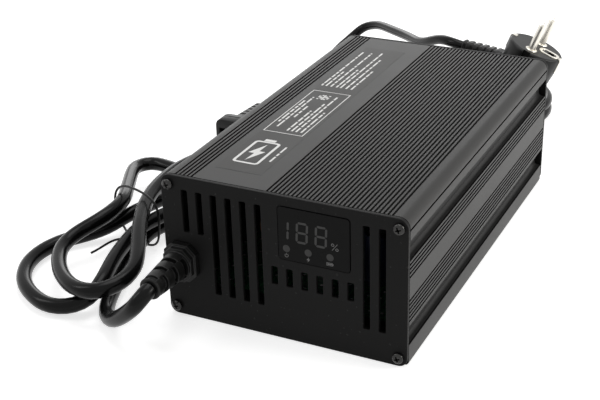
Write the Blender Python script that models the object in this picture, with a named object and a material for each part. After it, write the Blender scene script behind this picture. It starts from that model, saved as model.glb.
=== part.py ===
"""Lithium battery charger: a ribbed aluminium extrusion closed by two punched plates, with a
display window, a moulded output relief, a fan behind the rear plate, a mains inlet and both cords.

Metres, +Z up. The origin is the middle of the flat underside, and the front plate faces -Y.
"""

import math

import bmesh
import bpy
from mathutils import Matrix, Vector

MM = 0.001

# Housing
WIDTH = 125 * MM
HEIGHT = 75.4 * MM
DEPTH = 216 * MM
PLATE = 2.1 * MM
WALL = 2.2 * MM
TOP_RADIUS = 5 * MM
FOOT_RADIUS = 2 * MM
PLATE_FOOT_RADIUS = 4.5 * MM
SEAT = 0.3 * MM

# One millimetre across and up on the housing as drawn, which grows and shrinks with its size
SPAN = WIDTH / 125
RISE = HEIGHT / 75.4

# Ribbing of the extrusion
TOP_PITCH = 2.115 * SPAN
SIDE_PITCH = 2.115 * RISE
GROOVE_WIDTH = 0.95 * MM
GROOVE_DEPTH = 0.7 * MM
TOP_GROOVES_LEFT = 5
TOP_GROOVES_RIGHT = 30
TOP_LEFT_START = -55.2 * SPAN
TOP_RIGHT_START = -7.2 * SPAN
LOW_GROOVES = 6
LOW_GROOVE_START = 23.5 * RISE
MID_GROOVES = 4
MID_GROOVE_START = 46.1 * RISE
HIGH_GROOVE = 69.5 * RISE
CHANNEL_DEPTH = 3.7 * MM
CHANNEL_HEIGHT = 10 * RISE
CHANNEL_FILLET = 2 * MM
LOW_CHANNEL = 10.9 * RISE
HIGH_CHANNEL = 54.3 * RISE

# Screws that hold the plates, and the ports they run in
SCREW_INSET_X = 4.2 * MM
SCREW_INSET_Z = 4.7 * MM
SCREW_SHANK = 1.5 * MM
SCREW_HEAD = 2.75 * MM
SCREW_HEAD_HEIGHT = 1.9 * MM
SCREW_LENGTH = 9 * MM
PORT_WALL = 1.9 * MM

# Ventilation slots of the front plate
SLOT_COLUMNS = 14
SLOT_PITCH = 7.72 * SPAN
SLOT_WIDTH = 3.3 * SPAN
SLOT_RADIUS = 0.8 * MM
SLOT_FIRST = -50 * SPAN
SLOT_TOP = 68.7 * RISE
SLOT_LOW = 15.8 * RISE
SLOT_MID = 46.5 * RISE
SLOT_SHORT = (28.9 * RISE, 38.3 * RISE)

# Display
DISPLAY_X = (-0.8 * SPAN, 34.8 * SPAN)
DISPLAY_Z = (43.5 * RISE, 70.3 * RISE)
DISPLAY_RADIUS = 1.5 * MM
PANE_PROUD = 0.25 * MM
LED_RADIUS = 1.8 * RISE
LED_X = (3.2 * SPAN, 14.2 * SPAN, 25.1 * SPAN)
LED_Z = 49.4 * RISE
MODULE = (28 * SPAN, 6 * MM, 14 * RISE)
MODULE_Z = 59.5 * RISE

# Output relief and cord
RELIEF_X = 9.5 * MM - WIDTH / 2
RELIEF_Z = 31 * RISE
RELIEF_NECK = 5.8 * MM
RELIEF_FLANGE = (17.5 * MM, 19.5 * MM, 3 * MM)
RELIEF_STEP = (15.3 * MM, 17.3 * MM, 2.6 * MM)
RELIEF_LENGTH = 30.6 * MM
RELIEF_BASE = 7.4 * MM
RELIEF_TIP = 5.6 * MM
RELIEF_SLOT = 2.7 * MM
RELIEF_SLOT_PITCH = 7.9 * MM
OUTPUT_CORD = 8 * MM

# Mains side
INLET_X = 27.5 * MM - WIDTH / 2
INLET_Z = 45 * RISE
INLET_FLANGE = (50 * MM, 22.6 * MM, 2.6 * MM)
INLET_BODY = (27.4 * MM, 20 * MM, 19 * MM)
INLET_CAVITY = (24.6 * MM, 17.2 * MM, 15.5 * MM)
INLET_SCREW_SPACING = 40 * MM
MAINS_CORD = 6.5 * MM
CONNECTOR_BODY = (28 * MM, 23 * MM, 22 * MM)
CONNECTOR_BOOT = 20 * MM
COIL_CENTRE = (-1 * MM, 202 * MM)
COIL_RADIUS = 32.75 * MM
COIL_COLUMNS = 3
COIL_LAYERS = 2

# Plug, an angled round earthed plug that rests on the coil
PLUG_FACE = Vector((33.8 * MM, 187 * MM, 53.8 * MM))
PLUG_TILT = (Matrix.Rotation(math.radians(21), 3, "Y")
             @ Matrix.Rotation(math.radians(-5.2), 3, "X")
             @ Matrix.Rotation(math.radians(-6.5), 3, "Z"))
PLUG_RADIUS = 18 * MM
PLUG_DEPTH = 39.5 * MM
PLUG_BOOT = 26 * MM
PLUG_BOOT_AT = -19.5 * MM
PLUG_BOOT_DROP = 4.5 * MM
PIN_RADIUS = 2.4 * MM
PIN_REACH = 19 * MM
PIN_OFFSET = 9.5 * MM
EARTH_OFFSET = 10.5 * MM
EARTH_HOLE = 2.6 * MM

# Fan behind the rear plate, as big as the space beside the inlet allows
FAN_SIZE = min(WIDTH - 65 * MM, HEIGHT - 15.4 * MM)
FAN_UNIT = FAN_SIZE / 60
FAN_X = WIDTH / 2 - CHANNEL_DEPTH - WALL - 1.6 * MM - FAN_SIZE / 2
FAN_Z = HEIGHT / 2 + 0.3 * MM
FAN_DEPTH = 15 * MM
FAN_BORE = 28.4 * FAN_UNIT
FAN_TIP = 27.4 * FAN_UNIT
FAN_HUB = 12 * FAN_UNIT
FAN_BLADES = 7
FAN_HOLE_SPACING = 50 * FAN_UNIT
FAN_PIN = 1.6 * MM
STRUT = 2.4 * MM
GRILLE_BAR = 2.4 * MM
GRILLE_FIRST = 9 * FAN_UNIT
GRILLE_PITCH = 4.6 * FAN_UNIT
GRILLE_COUNT = 5
GRILLE_SLOT = 2.6 * FAN_UNIT

# Circuit board, and one millimetre across and along on it as drawn
BOARD = (WIDTH - 17 * MM, DEPTH - 48 * MM, 1.6 * MM)
BOARD_Y = -4 * MM
ACROSS = BOARD[0] / 108
ALONG = BOARD[1] / 168
PART_UNIT = min(ACROSS, ALONG)
STANDOFF = 6 * MM
STANDOFF_RADIUS = 2.8 * MM
STANDOFF_X = BOARD[0] / 2 - 6 * MM
STANDOFF_Y = BOARD[1] / 2 - 8 * MM
SINK_HEIGHT = 38 * RISE
CAN_HEIGHT = 42 * RISE

# Output connector on the floor beside the housing
CON_X = -WIDTH / 2 - 68 * MM
CON_Z = 9.8 * MM
CON_FRONT = 77 * MM
CON_BODY = (22 * MM, 12.5 * MM, 18.6 * MM)
CON_BOOT = 30 * MM
CON_POCKET = 7 * MM
CON_POCKET_DEPTH = 10 * MM
CON_RIB = 2.4 * MM
CON_BACK = CON_FRONT + CON_BODY[1]
CON_TIP = CON_BACK + CON_BOOT

FRONT = -DEPTH / 2
BACK = DEPTH / 2
INSIDE = DEPTH / 2 - PLATE - SEAT
FLOOR = WALL
BOARD_TOP = FLOOR + SEAT + STANDOFF + SEAT + BOARD[2]

for old in list(bpy.data.objects):
    bpy.data.objects.remove(old, do_unlink=True)


def material(name, colour, roughness, metallic=0.0):
    made = bpy.data.materials.new(name)
    made.use_nodes = True
    shader = made.node_tree.nodes["Principled BSDF"]
    shader.inputs["Base Color"].default_value = (*colour, 1)
    shader.inputs["Roughness"].default_value = roughness
    shader.inputs["Metallic"].default_value = metallic
    return made


ANODISED = material("anodised_black", (0.05, 0.05, 0.052), 0.42, 0.7)
PLATE_COAT = material("plate_black", (0.035, 0.035, 0.037), 0.5, 0.2)
SCREW_STEEL = material("screw_black", (0.03, 0.03, 0.032), 0.35, 0.9)
CORD_RUBBER = material("cord_black", (0.02, 0.02, 0.021), 0.45)
MOULDED = material("moulded_black", (0.018, 0.018, 0.019), 0.5)
PANE = material("display_pane", (0.03, 0.03, 0.034), 0.2)
LAMP = material("lamp_lens", (0.35, 0.36, 0.36), 0.3)
NICKEL = material("pin_nickel", (0.62, 0.6, 0.56), 0.25, 1.0)
BOARD_GREEN = material("board_green", (0.03, 0.13, 0.06), 0.5)
FERRITE = material("ferrite", (0.05, 0.05, 0.055), 0.7)
COPPER = material("copper_winding", (0.55, 0.25, 0.1), 0.35, 0.9)
TAPE = material("winding_tape", (0.6, 0.5, 0.08), 0.5)
SLEEVE = material("capacitor_sleeve", (0.03, 0.04, 0.09), 0.4)
SINK = material("heat_sink", (0.55, 0.56, 0.57), 0.4, 1.0)
PACKAGE = material("package_black", (0.03, 0.03, 0.03), 0.5)
CERAMIC = material("fuse_ceramic", (0.75, 0.73, 0.68), 0.4)


def add(name, data, look, parent=None):
    made = bpy.data.objects.new(name, data)
    bpy.context.collection.objects.link(made)
    data.materials.append(look)
    made.parent = parent
    return made


def arc(x, z, radius, start, end, steps):
    """Points on an arc, with the angles in degrees and both ends included."""
    angles = [math.radians(start + (end - start) * i / steps) for i in range(steps + 1)]
    return [(x + radius * math.cos(a), z + radius * math.sin(a)) for a in angles]


def circle(x, z, radius, steps=16):
    return arc(x, z, radius, 0, 360, steps)[:-1]


def round_box(x0, x1, z0, z1, radius, steps=2):
    """A rectangle with rounded corners, counterclockwise from its lower right corner."""
    return (arc(x1 - radius, z0 + radius, radius, -90, 0, steps)
            + arc(x1 - radius, z1 - radius, radius, 0, 90, steps)
            + arc(x0 + radius, z1 - radius, radius, 90, 180, steps)
            + arc(x0 + radius, z0 + radius, radius, 180, 270, steps))


def slab(name, loops, front, back, look, parent=None):
    """Extrudes outlines drawn in X and Z along Y. The first loop is the edge, the others are holes."""
    outline = bpy.data.curves.new(name, "CURVE")
    outline.dimensions = "2D"
    outline.fill_mode = "BOTH"
    outline.extrude = (back - front) / 2
    for loop in loops:
        spline = outline.splines.new("POLY")
        spline.points.add(len(loop) - 1)
        for point, (x, z) in zip(spline.points, loop):
            point.co = (x, z, 0, 1)
        spline.use_cyclic_u = True
    made = add(name, outline, look, parent)
    made.location = (0, (front + back) / 2, 0)
    made.rotation_euler = (math.pi / 2, 0, 0)
    return made


def mesh_of(name, vertices, faces):
    made = bpy.data.meshes.new(name)
    made.from_pydata(vertices, [], faces)
    shape = bmesh.new()
    shape.from_mesh(made)
    bmesh.ops.recalc_face_normals(shape, faces=shape.faces)
    shape.to_mesh(made)
    shape.free()
    made.shade_smooth()
    made.set_sharp_from_angle(angle=math.radians(35))
    return made


def turned_mesh(name, profile, steps=20, ring=False):
    """Turns (radius, height) points about Z. A ring's profile closes on itself, others end on Z."""
    vertices = []
    rows = []
    for radius, height in profile:
        if radius < 1e-7:
            rows.append([len(vertices)] * steps)
            vertices.append((0, 0, height))
            continue
        rows.append(list(range(len(vertices), len(vertices) + steps)))
        vertices += [(x, y, height) for x, y in circle(0, 0, radius, steps)]
    if ring:
        rows.append(rows[0])
    faces = []
    for low, high in zip(rows, rows[1:]):
        for i in range(steps):
            j = (i + 1) % steps
            face = [low[i], low[j], high[j], high[i]]
            faces.append(list(dict.fromkeys(face)))
    return mesh_of(name, vertices, faces)


def loft_mesh(name, sections):
    """Joins closed sections, lists of the same number of 3-D points, and caps both ends."""
    count = len(sections[0])
    vertices = [point for section in sections for point in section]
    faces = [list(range(count))[::-1], list(range(len(vertices) - count, len(vertices)))]
    for row in range(len(sections) - 1):
        for i in range(count):
            j = (i + 1) % count
            a, b = row * count, (row + 1) * count
            faces.append([a + i, a + j, b + j, b + i])
    return mesh_of(name, vertices, faces)


def box_mesh(name, size, centre=(0, 0, 0)):
    shape = bmesh.new()
    bmesh.ops.create_cube(shape, size=1)
    bmesh.ops.scale(shape, vec=size, verts=shape.verts)
    bmesh.ops.translate(shape, vec=centre, verts=shape.verts)
    made = bpy.data.meshes.new(name)
    shape.to_mesh(made)
    shape.free()
    return made


def block(name, size, centre, look, bevel=0.0, parent=None):
    made = add(name, box_mesh(name, size), look, parent)
    made.location = centre
    if bevel:
        edge = made.modifiers.new("soft_edges", "BEVEL")
        edge.width = bevel
        edge.segments = 1
    return made


def cutter(name, data, like):
    """A helper in the same place as the piece that it shapes, left out of the model."""
    made = bpy.data.objects.new(name, data)
    bpy.context.collection.objects.link(made)
    made.location = like.location
    made.rotation_euler = like.rotation_euler
    made.parent = like.parent
    made.hide_render = True
    made.display_type = "WIRE"
    return made


def combine(piece, helper, operation):
    boolean = piece.modifiers.new(operation.lower(), "BOOLEAN")
    boolean.operation = operation
    boolean.solver = "EXACT"
    boolean.object = helper


def joined_mesh(name, parts):
    """One mesh of several loose shapes, for a cutter or for the other side of a union."""
    shape = bmesh.new()
    for part in parts:
        shape.from_mesh(part)
    made = bpy.data.meshes.new(name)
    shape.to_mesh(made)
    shape.free()
    return made


# Outline of the extrusion, from its underside round to the right, over the top and down the left


def groove_up(x, z, sign):
    """One groove in a side wall, met going up on the right and mirrored by the caller on the left."""
    half = GROOVE_WIDTH / 2
    deep = x - GROOVE_DEPTH
    inner = half * 0.8
    return [(sign * x, z - half), (sign * deep, z - inner), (sign * deep, z + inner), (sign * x, z + half)]


def channel_up(x, low, sign):
    """A T-slot channel: flat lower ledge, fillet into the inner wall and a sharp upper edge."""
    deep = x - CHANNEL_DEPTH
    high = low + CHANNEL_HEIGHT
    bend = arc(deep + CHANNEL_FILLET, low + CHANNEL_FILLET, CHANNEL_FILLET, 270, 180, 4)
    points = [(x, low)] + bend + [(deep, high), (x, high)]
    return [(sign * px, pz) for px, pz in points]


def side(sign):
    """The side wall from low to high."""
    x = WIDTH / 2
    points = arc(x - FOOT_RADIUS, FOOT_RADIUS, FOOT_RADIUS, -90, 0, 3)
    points = [(sign * px, pz) for px, pz in points]
    points += channel_up(x, LOW_CHANNEL, sign)
    for i in range(LOW_GROOVES):
        points += groove_up(x, LOW_GROOVE_START + i * SIDE_PITCH, sign)
    for i in range(MID_GROOVES):
        points += groove_up(x, MID_GROOVE_START + i * SIDE_PITCH, sign)
    points += channel_up(x, HIGH_CHANNEL, sign)
    points += groove_up(x, HIGH_GROOVE, sign)
    bend = arc(x - TOP_RADIUS, HEIGHT - TOP_RADIUS, TOP_RADIUS, 0, 90, 6)
    return points + [(sign * px, pz) for px, pz in bend[1:]]


def top():
    """The grooves of the top from right to left."""
    rows = [TOP_LEFT_START + i * TOP_PITCH for i in range(TOP_GROOVES_LEFT)]
    rows += [TOP_RIGHT_START + i * TOP_PITCH for i in range(TOP_GROOVES_RIGHT)]
    points = []
    for x in reversed(rows):
        half = GROOVE_WIDTH / 2
        inner = half * 0.8
        deep = HEIGHT - GROOVE_DEPTH
        points += [(x + half, HEIGHT), (x + inner, deep), (x - inner, deep), (x - half, HEIGHT)]
    return points


def bore_outline():
    """The hollow inside, which steps in round each channel and each screw port."""
    wall = WIDTH / 2 - WALL
    inner = WIDTH / 2 - CHANNEL_DEPTH - WALL
    port = SCREW_SHANK + SEAT + PORT_WALL
    port_x = WIDTH / 2 - SCREW_INSET_X
    low_z = SCREW_INSET_Z
    high_z = HEIGHT - SCREW_INSET_Z
    right = arc(port_x, low_z, port, 180, 95, 5)[:-1]
    right = [(port_x - port, FLOOR)] + right
    right += [(inner, low_z + port), (inner, LOW_CHANNEL + CHANNEL_HEIGHT + WALL)]
    right += [(wall, LOW_CHANNEL + CHANNEL_HEIGHT + WALL), (wall, HIGH_CHANNEL - WALL)]
    right += [(inner, HIGH_CHANNEL - WALL), (inner, high_z - port)]
    right += arc(port_x, high_z, port, 265, 180, 5)[1:]
    right += [(port_x - port, HEIGHT - WALL)]
    return right + [(-x, z) for x, z in reversed(right)]


def screw_places():
    x = WIDTH / 2 - SCREW_INSET_X
    high = HEIGHT - SCREW_INSET_Z
    return {"low_left": (-x, SCREW_INSET_Z), "low_right": (x, SCREW_INSET_Z),
            "high_left": (-x, high), "high_right": (x, high)}


outline = side(1) + top() + side(-1)[::-1]
ports = [circle(x, z, SCREW_SHANK + SEAT, 12) for x, z in screw_places().values()]
housing = slab("housing_extrusion", [outline, bore_outline()] + ports, -INSIDE, INSIDE, ANODISED)


# Plates

def plate_outline():
    x = WIDTH / 2
    foot = PLATE_FOOT_RADIUS
    return (arc(x - foot, foot, foot, -90, 0, 4)
            + arc(x - TOP_RADIUS, HEIGHT - TOP_RADIUS, TOP_RADIUS, 0, 90, 5)
            + arc(-x + TOP_RADIUS, HEIGHT - TOP_RADIUS, TOP_RADIUS, 90, 180, 5)
            + arc(-x + foot, foot, foot, 180, 270, 4))


def slot_loops():
    """Fourteen columns: two stop above the relief, six stop below the display, the rest run down."""
    loops = []
    for column in range(SLOT_COLUMNS):
        x = SLOT_FIRST + column * SLOT_PITCH
        low, high = SLOT_LOW, SLOT_TOP
        if column < 2:
            low = SLOT_MID
        if 6 <= column < 12:
            low, high = SLOT_SHORT
        half = SLOT_WIDTH / 2
        loops.append(round_box(x - half, x + half, low, high, SLOT_RADIUS))
    return loops


screw_holes = [circle(x, z, SCREW_SHANK + SEAT, 12) for x, z in screw_places().values()]
window_hole = round_box(DISPLAY_X[0] - SEAT, DISPLAY_X[1] + SEAT, DISPLAY_Z[0] - SEAT,
                        DISPLAY_Z[1] + SEAT, DISPLAY_RADIUS + SEAT, 3)
relief_hole = circle(RELIEF_X, RELIEF_Z, RELIEF_NECK + SEAT, 20)
slab("front_plate", [plate_outline(), window_hole, relief_hole] + slot_loops() + screw_holes,
     FRONT, FRONT + PLATE, PLATE_COAT)


def grille_loops():
    """Rings of arc slots with four spokes, as punched over a fan."""
    loops = []
    for ring in range(GRILLE_COUNT):
        outer = GRILLE_FIRST + ring * GRILLE_PITCH
        inner = outer - GRILLE_SLOT
        spare = math.degrees(GRILLE_BAR / 2 / (inner + GRILLE_SLOT / 2))
        for quarter in range(4):
            start = quarter * 90 + spare
            end = quarter * 90 + 90 - spare
            steps = 3 + ring
            loops.append(arc(FAN_X, FAN_Z, outer, start, end, steps)
                         + arc(FAN_X, FAN_Z, inner, end, start, steps))
    return loops


fan_corners = {"low_left": (-1, -1), "low_right": (1, -1), "high_left": (-1, 1), "high_right": (1, 1)}
fan_screw_at = {place: (FAN_X + sx * FAN_HOLE_SPACING / 2, FAN_Z + sz * FAN_HOLE_SPACING / 2)
                for place, (sx, sz) in fan_corners.items()}
inlet_screw_at = {"left": (INLET_X - INLET_SCREW_SPACING / 2, INLET_Z),
                  "right": (INLET_X + INLET_SCREW_SPACING / 2, INLET_Z)}


def inlet_outline(width, height, cut):
    """The inlet's six-sided mouth, with its two upper corners cut off."""
    x0, x1 = INLET_X - width / 2, INLET_X + width / 2
    z0, z1 = INLET_Z - height / 2, INLET_Z + height / 2
    return [(x0, z0), (x1, z0), (x1, z1 - cut), (x1 - cut, z1), (x0 + cut, z1), (x0, z1 - cut)]


inlet_hole = inlet_outline(INLET_BODY[0] + 2 * SEAT, INLET_BODY[1] + 2 * SEAT, 4.5 * MM)
small_holes = [circle(x, z, SCREW_SHANK + SEAT, 12)
               for x, z in list(fan_screw_at.values()) + list(inlet_screw_at.values())]
slab("rear_plate", [plate_outline(), inlet_hole] + grille_loops() + small_holes + screw_holes,
     BACK - PLATE, BACK, PLATE_COAT)


# Screws

def screw_mesh(name, length):
    """A pan head on a plain shank, with the head's top at +Z."""
    rise = SCREW_HEAD_HEIGHT
    profile = [(0, -length), (SCREW_SHANK, -length), (SCREW_SHANK, 0), (SCREW_HEAD, 0)]
    profile += [(SCREW_HEAD, rise * 0.35), (SCREW_HEAD * 0.86, rise * 0.78), (SCREW_HEAD * 0.5, rise),
                (0, rise)]
    return turned_mesh(name, profile, 12)


def drive(name, mesh, x, z, y, towards):
    """Sets a screw with its head on the face at y, pointing out along -Y or +Y."""
    made = bpy.data.objects.new(name, mesh)
    bpy.context.collection.objects.link(made)
    made.location = (x, y + towards * SEAT, z)
    made.rotation_euler = (-towards * math.pi / 2, 0, 0)
    return made


plate_screw = screw_mesh("plate_screw", SCREW_LENGTH)
plate_screw.materials.append(SCREW_STEEL)
for place, (x, z) in screw_places().items():
    drive("front_screw_" + place, plate_screw, x, z, FRONT, -1)
    drive("rear_screw_" + place, plate_screw, x, z, BACK, 1)

fan_screw = screw_mesh("fan_screw", PLATE + SEAT + 8 * MM)
fan_screw.materials.append(SCREW_STEEL)
for place, (x, z) in fan_screw_at.items():
    drive("fan_screw_" + place, fan_screw, x, z, BACK, 1)

inlet_screw = screw_mesh("inlet_screw", INLET_FLANGE[2] + PLATE + 4 * MM)
inlet_screw.materials.append(SCREW_STEEL)
for place, (x, z) in inlet_screw_at.items():
    drive("inlet_screw_" + place, inlet_screw, x, z, BACK + SEAT + INLET_FLANGE[2], 1)


# Display

pane_back = FRONT + PLATE
slab("display_window", [round_box(*DISPLAY_X, *DISPLAY_Z, DISPLAY_RADIUS, 3)],
     FRONT - PANE_PROUD, pane_back, PANE)
display_mid_x = sum(DISPLAY_X) / 2
module_y = pane_back + SEAT + MODULE[1] / 2
block("display_module", MODULE, (display_mid_x - 1 * MM, module_y, MODULE_Z), PACKAGE, 0.4 * MM)
board_y = pane_back + SEAT + MODULE[1] + SEAT
display_board = (DISPLAY_X[1] - DISPLAY_X[0] + 4 * MM, 1.6 * MM, DISPLAY_Z[1] - DISPLAY_Z[0] + 1 * MM)
block("display_board", display_board,
      (display_mid_x, board_y + 0.8 * MM, sum(DISPLAY_Z) / 2), BOARD_GREEN)
lamp = turned_mesh("lamp", [(0, 0), (LED_RADIUS, 0), (LED_RADIUS, MODULE[1] - LED_RADIUS),
                            (LED_RADIUS * 0.7, MODULE[1] - LED_RADIUS * 0.3), (0, MODULE[1])], 12)
lamp.materials.append(LAMP)
for number, x in enumerate(LED_X, 1):
    made = bpy.data.objects.new("status_lamp_" + str(number), lamp)
    bpy.context.collection.objects.link(made)
    made.location = (x, board_y - SEAT, LED_Z)
    made.rotation_euler = (math.pi / 2, 0, 0)


# Output relief: a stepped flange, a tapered boot and slots staggered round it

def octagon(width, height, y, cut):
    x, z = width / 2, height / 2
    corners = [(x, z - cut), (x - cut, z), (-x + cut, z), (-x, z - cut),
               (-x, -z + cut), (-x + cut, -z), (x - cut, -z), (x, -z + cut)]
    return [(px, y, pz) for px, pz in corners]


flange_w, flange_h, flange_t = RELIEF_FLANGE
step_w, step_h, step_t = RELIEF_STEP
start = -SEAT
flange = loft_mesh("relief_flange", [octagon(flange_w, flange_h, start, 4.2 * MM),
                                     octagon(flange_w, flange_h, start - flange_t, 4.2 * MM)])
step = loft_mesh("relief_step", [octagon(step_w, step_h, start - flange_t + 0.5 * MM, 4.2 * MM),
                                 octagon(step_w, step_h, start - flange_t - step_t, 4.2 * MM)])
boot_start = start - flange_t - step_t
neck = turned_mesh("relief_neck", [(0, -PLATE - 4 * MM), (RELIEF_NECK, -PLATE - 4 * MM),
                                   (RELIEF_NECK, 2 * MM), (0, 2 * MM)], 20)
neck.transform(Matrix.Rotation(math.pi / 2, 4, "X"))
boot_end = -RELIEF_LENGTH
boot = turned_mesh("relief_boot", [(0, boot_end), (RELIEF_TIP - 0.6 * MM, boot_end),
                                   (RELIEF_TIP, boot_end + 0.6 * MM), (RELIEF_TIP, boot_end + 3.4 * MM),
                                   (RELIEF_BASE, boot_start + 1 * MM), (0, boot_start + 1 * MM)], 20)
boot.transform(Matrix.Rotation(-math.pi / 2, 4, "X"))


def ring_piece(name, inner, outer, start, end, y, width, steps=6):
    """Part of a ring about Y, from one angle to another."""
    faces_at = []
    for angle in (start + (end - start) * i / steps for i in range(steps + 1)):
        c, s = math.cos(math.radians(angle)), math.sin(math.radians(angle))
        faces_at.append([(r * c, py, r * s) for r, py in
                         ((inner, y), (outer, y), (outer, y + width), (inner, y + width))])
    return loft_mesh(name, faces_at)


slots = []
core = OUTPUT_CORD / 2 + 0.8 * MM
for row in range(6):
    y = boot_start - 1.4 * MM - RELIEF_SLOT - row * RELIEF_SLOT_PITCH / 2
    first = 57 if row % 2 else -33
    for turn in (first, first + 180):
        slots.append(ring_piece("relief_slot", core, RELIEF_BASE + 3 * MM, turn, turn + 86, y, RELIEF_SLOT))

relief = add("output_strain_relief", boot, MOULDED)
relief.location = (RELIEF_X, FRONT, RELIEF_Z)
combine(relief, cutter("relief_slots", joined_mesh("relief_slots", slots), relief), "DIFFERENCE")
combine(relief, cutter("relief_step", step, relief), "UNION")
combine(relief, cutter("relief_flange", flange, relief), "UNION")
combine(relief, cutter("relief_neck", neck, relief), "UNION")


# Cords: each route is a list of chosen points, and the cord follows a smooth curve through them

def smooth_route(points, spacing):
    """Even points on a Catmull-Rom curve, relaxed a little, with a short stub that squares each end."""
    points = [Vector(point) * MM for point in points]
    ends = [points[0] * 2 - points[1]] + points + [points[-1] * 2 - points[-2]]
    fine = []
    for a, b, c, d in zip(ends, ends[1:], ends[2:], ends[3:]):
        steps = max(2, round((c - b).length / MM))
        for i in range(steps):
            t = i / steps
            fine.append(((b * 2) + (c - a) * t + (a * 2 - b * 5 + c * 4 - d) * t ** 2
                         + (b * 3 - a - c * 3 + d) * t ** 3) / 2)
    fine.append(points[-1])
    for _ in range(40):
        middle = [(a + b * 2 + c) / 4 for a, b, c in zip(fine, fine[1:], fine[2:])]
        fine = [fine[0]] + middle + [fine[-1]]
    lengths = [0.0]
    for a, b in zip(fine, fine[1:]):
        lengths.append(lengths[-1] + (b - a).length)
    count = max(2, round(lengths[-1] / spacing))
    stub = spacing * 0.15
    goals = [0, stub] + [lengths[-1] * i / count for i in range(1, count)]
    goals += [lengths[-1] - stub, lengths[-1]]
    route = []
    at = 0
    for goal in goals:
        while at < len(lengths) - 2 and lengths[at + 1] < goal:
            at += 1
        share = (goal - lengths[at]) / (lengths[at + 1] - lengths[at])
        route.append(fine[at].lerp(fine[at + 1], min(1, share)))
    route[1] = points[0] + (points[1] - points[0]).normalized() * stub
    route[-2] = points[-1] + (points[-2] - points[-1]).normalized() * stub
    return route


def tube(name, points, diameter, spacing, look, roundness=3):
    route = smooth_route(points, spacing)
    curve = bpy.data.curves.new(name, "CURVE")
    curve.dimensions = "3D"
    curve.bevel_depth = diameter / 2
    curve.bevel_resolution = roundness
    curve.use_fill_caps = True
    spline = curve.splines.new("POLY")
    spline.points.add(len(route) - 1)
    for point, place in zip(spline.points, route):
        point.co = (*place, 1)
    return add(name, curve, look)


SIDE_SHIFT = 62.5 - WIDTH / 2 / MM
EXIT_Y = (FRONT - RELIEF_LENGTH - SEAT) / MM
JOIN_Y = (CON_TIP + SEAT) / MM
OUTPUT_ROUTE = [
    (RELIEF_X / MM, EXIT_Y, RELIEF_Z / MM), (RELIEF_X / MM, EXIT_Y - 6, RELIEF_Z / MM)]
OUTPUT_LOOPS = [
    (-54.9, -146.7, 27), (-63, -144.1, 19), (-70.5, -141.3, 12.5), (-78.8, -136.2, 7),
    (-86.4, -128.9, 4.6), (-91.8, -119.6, 4.4), (-96.5, -106.8, 4.4), (-102.8, -89.5, 4.4),
    (-108.1, -70.7, 5), (-109.6, -53.2, 6.8), (-106.3, -32.9, 5.2), (-95.2, -14.9, 4.4),
    (-82.1, 3.1, 4.4), (-77, 23, 4.4), (-83.9, 40, 4.4), (-100.8, 47, 4.4), (-114.7, 37, 4.4),
    (-120.6, 16.9, 4.8), (-123.3, -5.6, 6.5), (-125.7, -27.4, 9), (-128.5, -43.5, 10),
    (-134.5, -56.8, 7), (-143.1, -65.9, 5), (-150.7, -74.8, 4.4), (-154.6, -87.6, 4.4),
    (-153.6, -102, 4.4), (-146.4, -116.1, 4.4), (-134.9, -126.6, 4.4), (-118.9, -133.9, 4.4),
    (-107.4, -131.5, 4.6), (-99, -126, 7.8), (-97.4, -116.4, 12), (-102.9, -97.5, 13.6),
    (-106.7, -81.4, 14), (-108.9, -63.1, 14.7), (-106.2, -46.2, 14.4), (-98, -20, 13.8),
    (-96, -7, 13.8), (-104.5, 3, 14.4), (-119, 6.5, 14.8), (-134.5, 11, 14.4),
    (-148.5, 13.5, 13.8), (-154, 3, 14.4), (-140.6, -24.2, 18), (-127.5, -50.2, 21),
    (-128, -70.9, 20), (-135.3, -83.2, 16), (-134.9, -97.6, 14), (-121.5, -116.8, 14.5),
    (-103.7, -130.4, 16.2), (-89.1, -132.5, 18), (-81.8, -123.4, 19), (-81.7, -109.2, 20),
    (-88.9, -94, 21.5), (-100.7, -74, 23.2), (-112.4, -48.8, 23.6), (-118, -26.9, 23.4),
    (-119, -2.9, 23), (-112, 16, 23.2), (-98, 34, 19.6), (-88, 60, 9), (-86, 90, 4.6),
    (-88, 117, 4.4), (-94, 134, 5), (-105, 146, 7), (-118, 147, 9), (-127.5, 138, 9.8)]
OUTPUT_ROUTE += [(x + SIDE_SHIFT, y, z) for x, y, z in OUTPUT_LOOPS]
OUTPUT_ROUTE += [(CON_X / MM, JOIN_Y + 6, CON_Z / MM), (CON_X / MM, JOIN_Y, CON_Z / MM)]
tube("output_cord", OUTPUT_ROUTE, OUTPUT_CORD, 18 * MM, CORD_RUBBER)

TIE = 1.3 * MM
TIE_LOOP = [
    (-130.4, -78.4, 3), (-129.8, -70.1, 2), (-128, -62, 3.4), (-124, -55.9, 2.4), (-117.4, -54.9, 0.9),
    (-110.7, -55, 0.8), (-105.2, -56, 0.8), (-101.3, -56.6, 4), (-100.5, -56.6, 13),
    (-100.1, -55.8, 22.1), (-103.3, -54.7, 28.2), (-110, -52.5, 30.2), (-118.9, -49.3, 30.2),
    (-126.8, -45.7, 29.1), (-134.1, -43.7, 26.5), (-137.7, -42.8, 20), (-137.5, -42.8, 13),
    (-135.8, -43.2, 7), (-132.5, -44.5, 2.6), (-126.5, -49.2, 1.6), (-123.5, -53.7, 4.2)]
TIE_ROUTE = [(x + SIDE_SHIFT, y, z) for x, y, z in TIE_LOOP]
tube("twist_tie", TIE_ROUTE, TIE, 5 * MM, MOULDED, 2)


# Output connector on the floor behind the housing: a housing block with a tapered boot

def ring_at(x, z, half_w, half_h, y, cut):
    return [(x + px, y, z + pz) for px, py, pz in octagon(half_w * 2, half_h * 2, 0, cut)]


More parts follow.
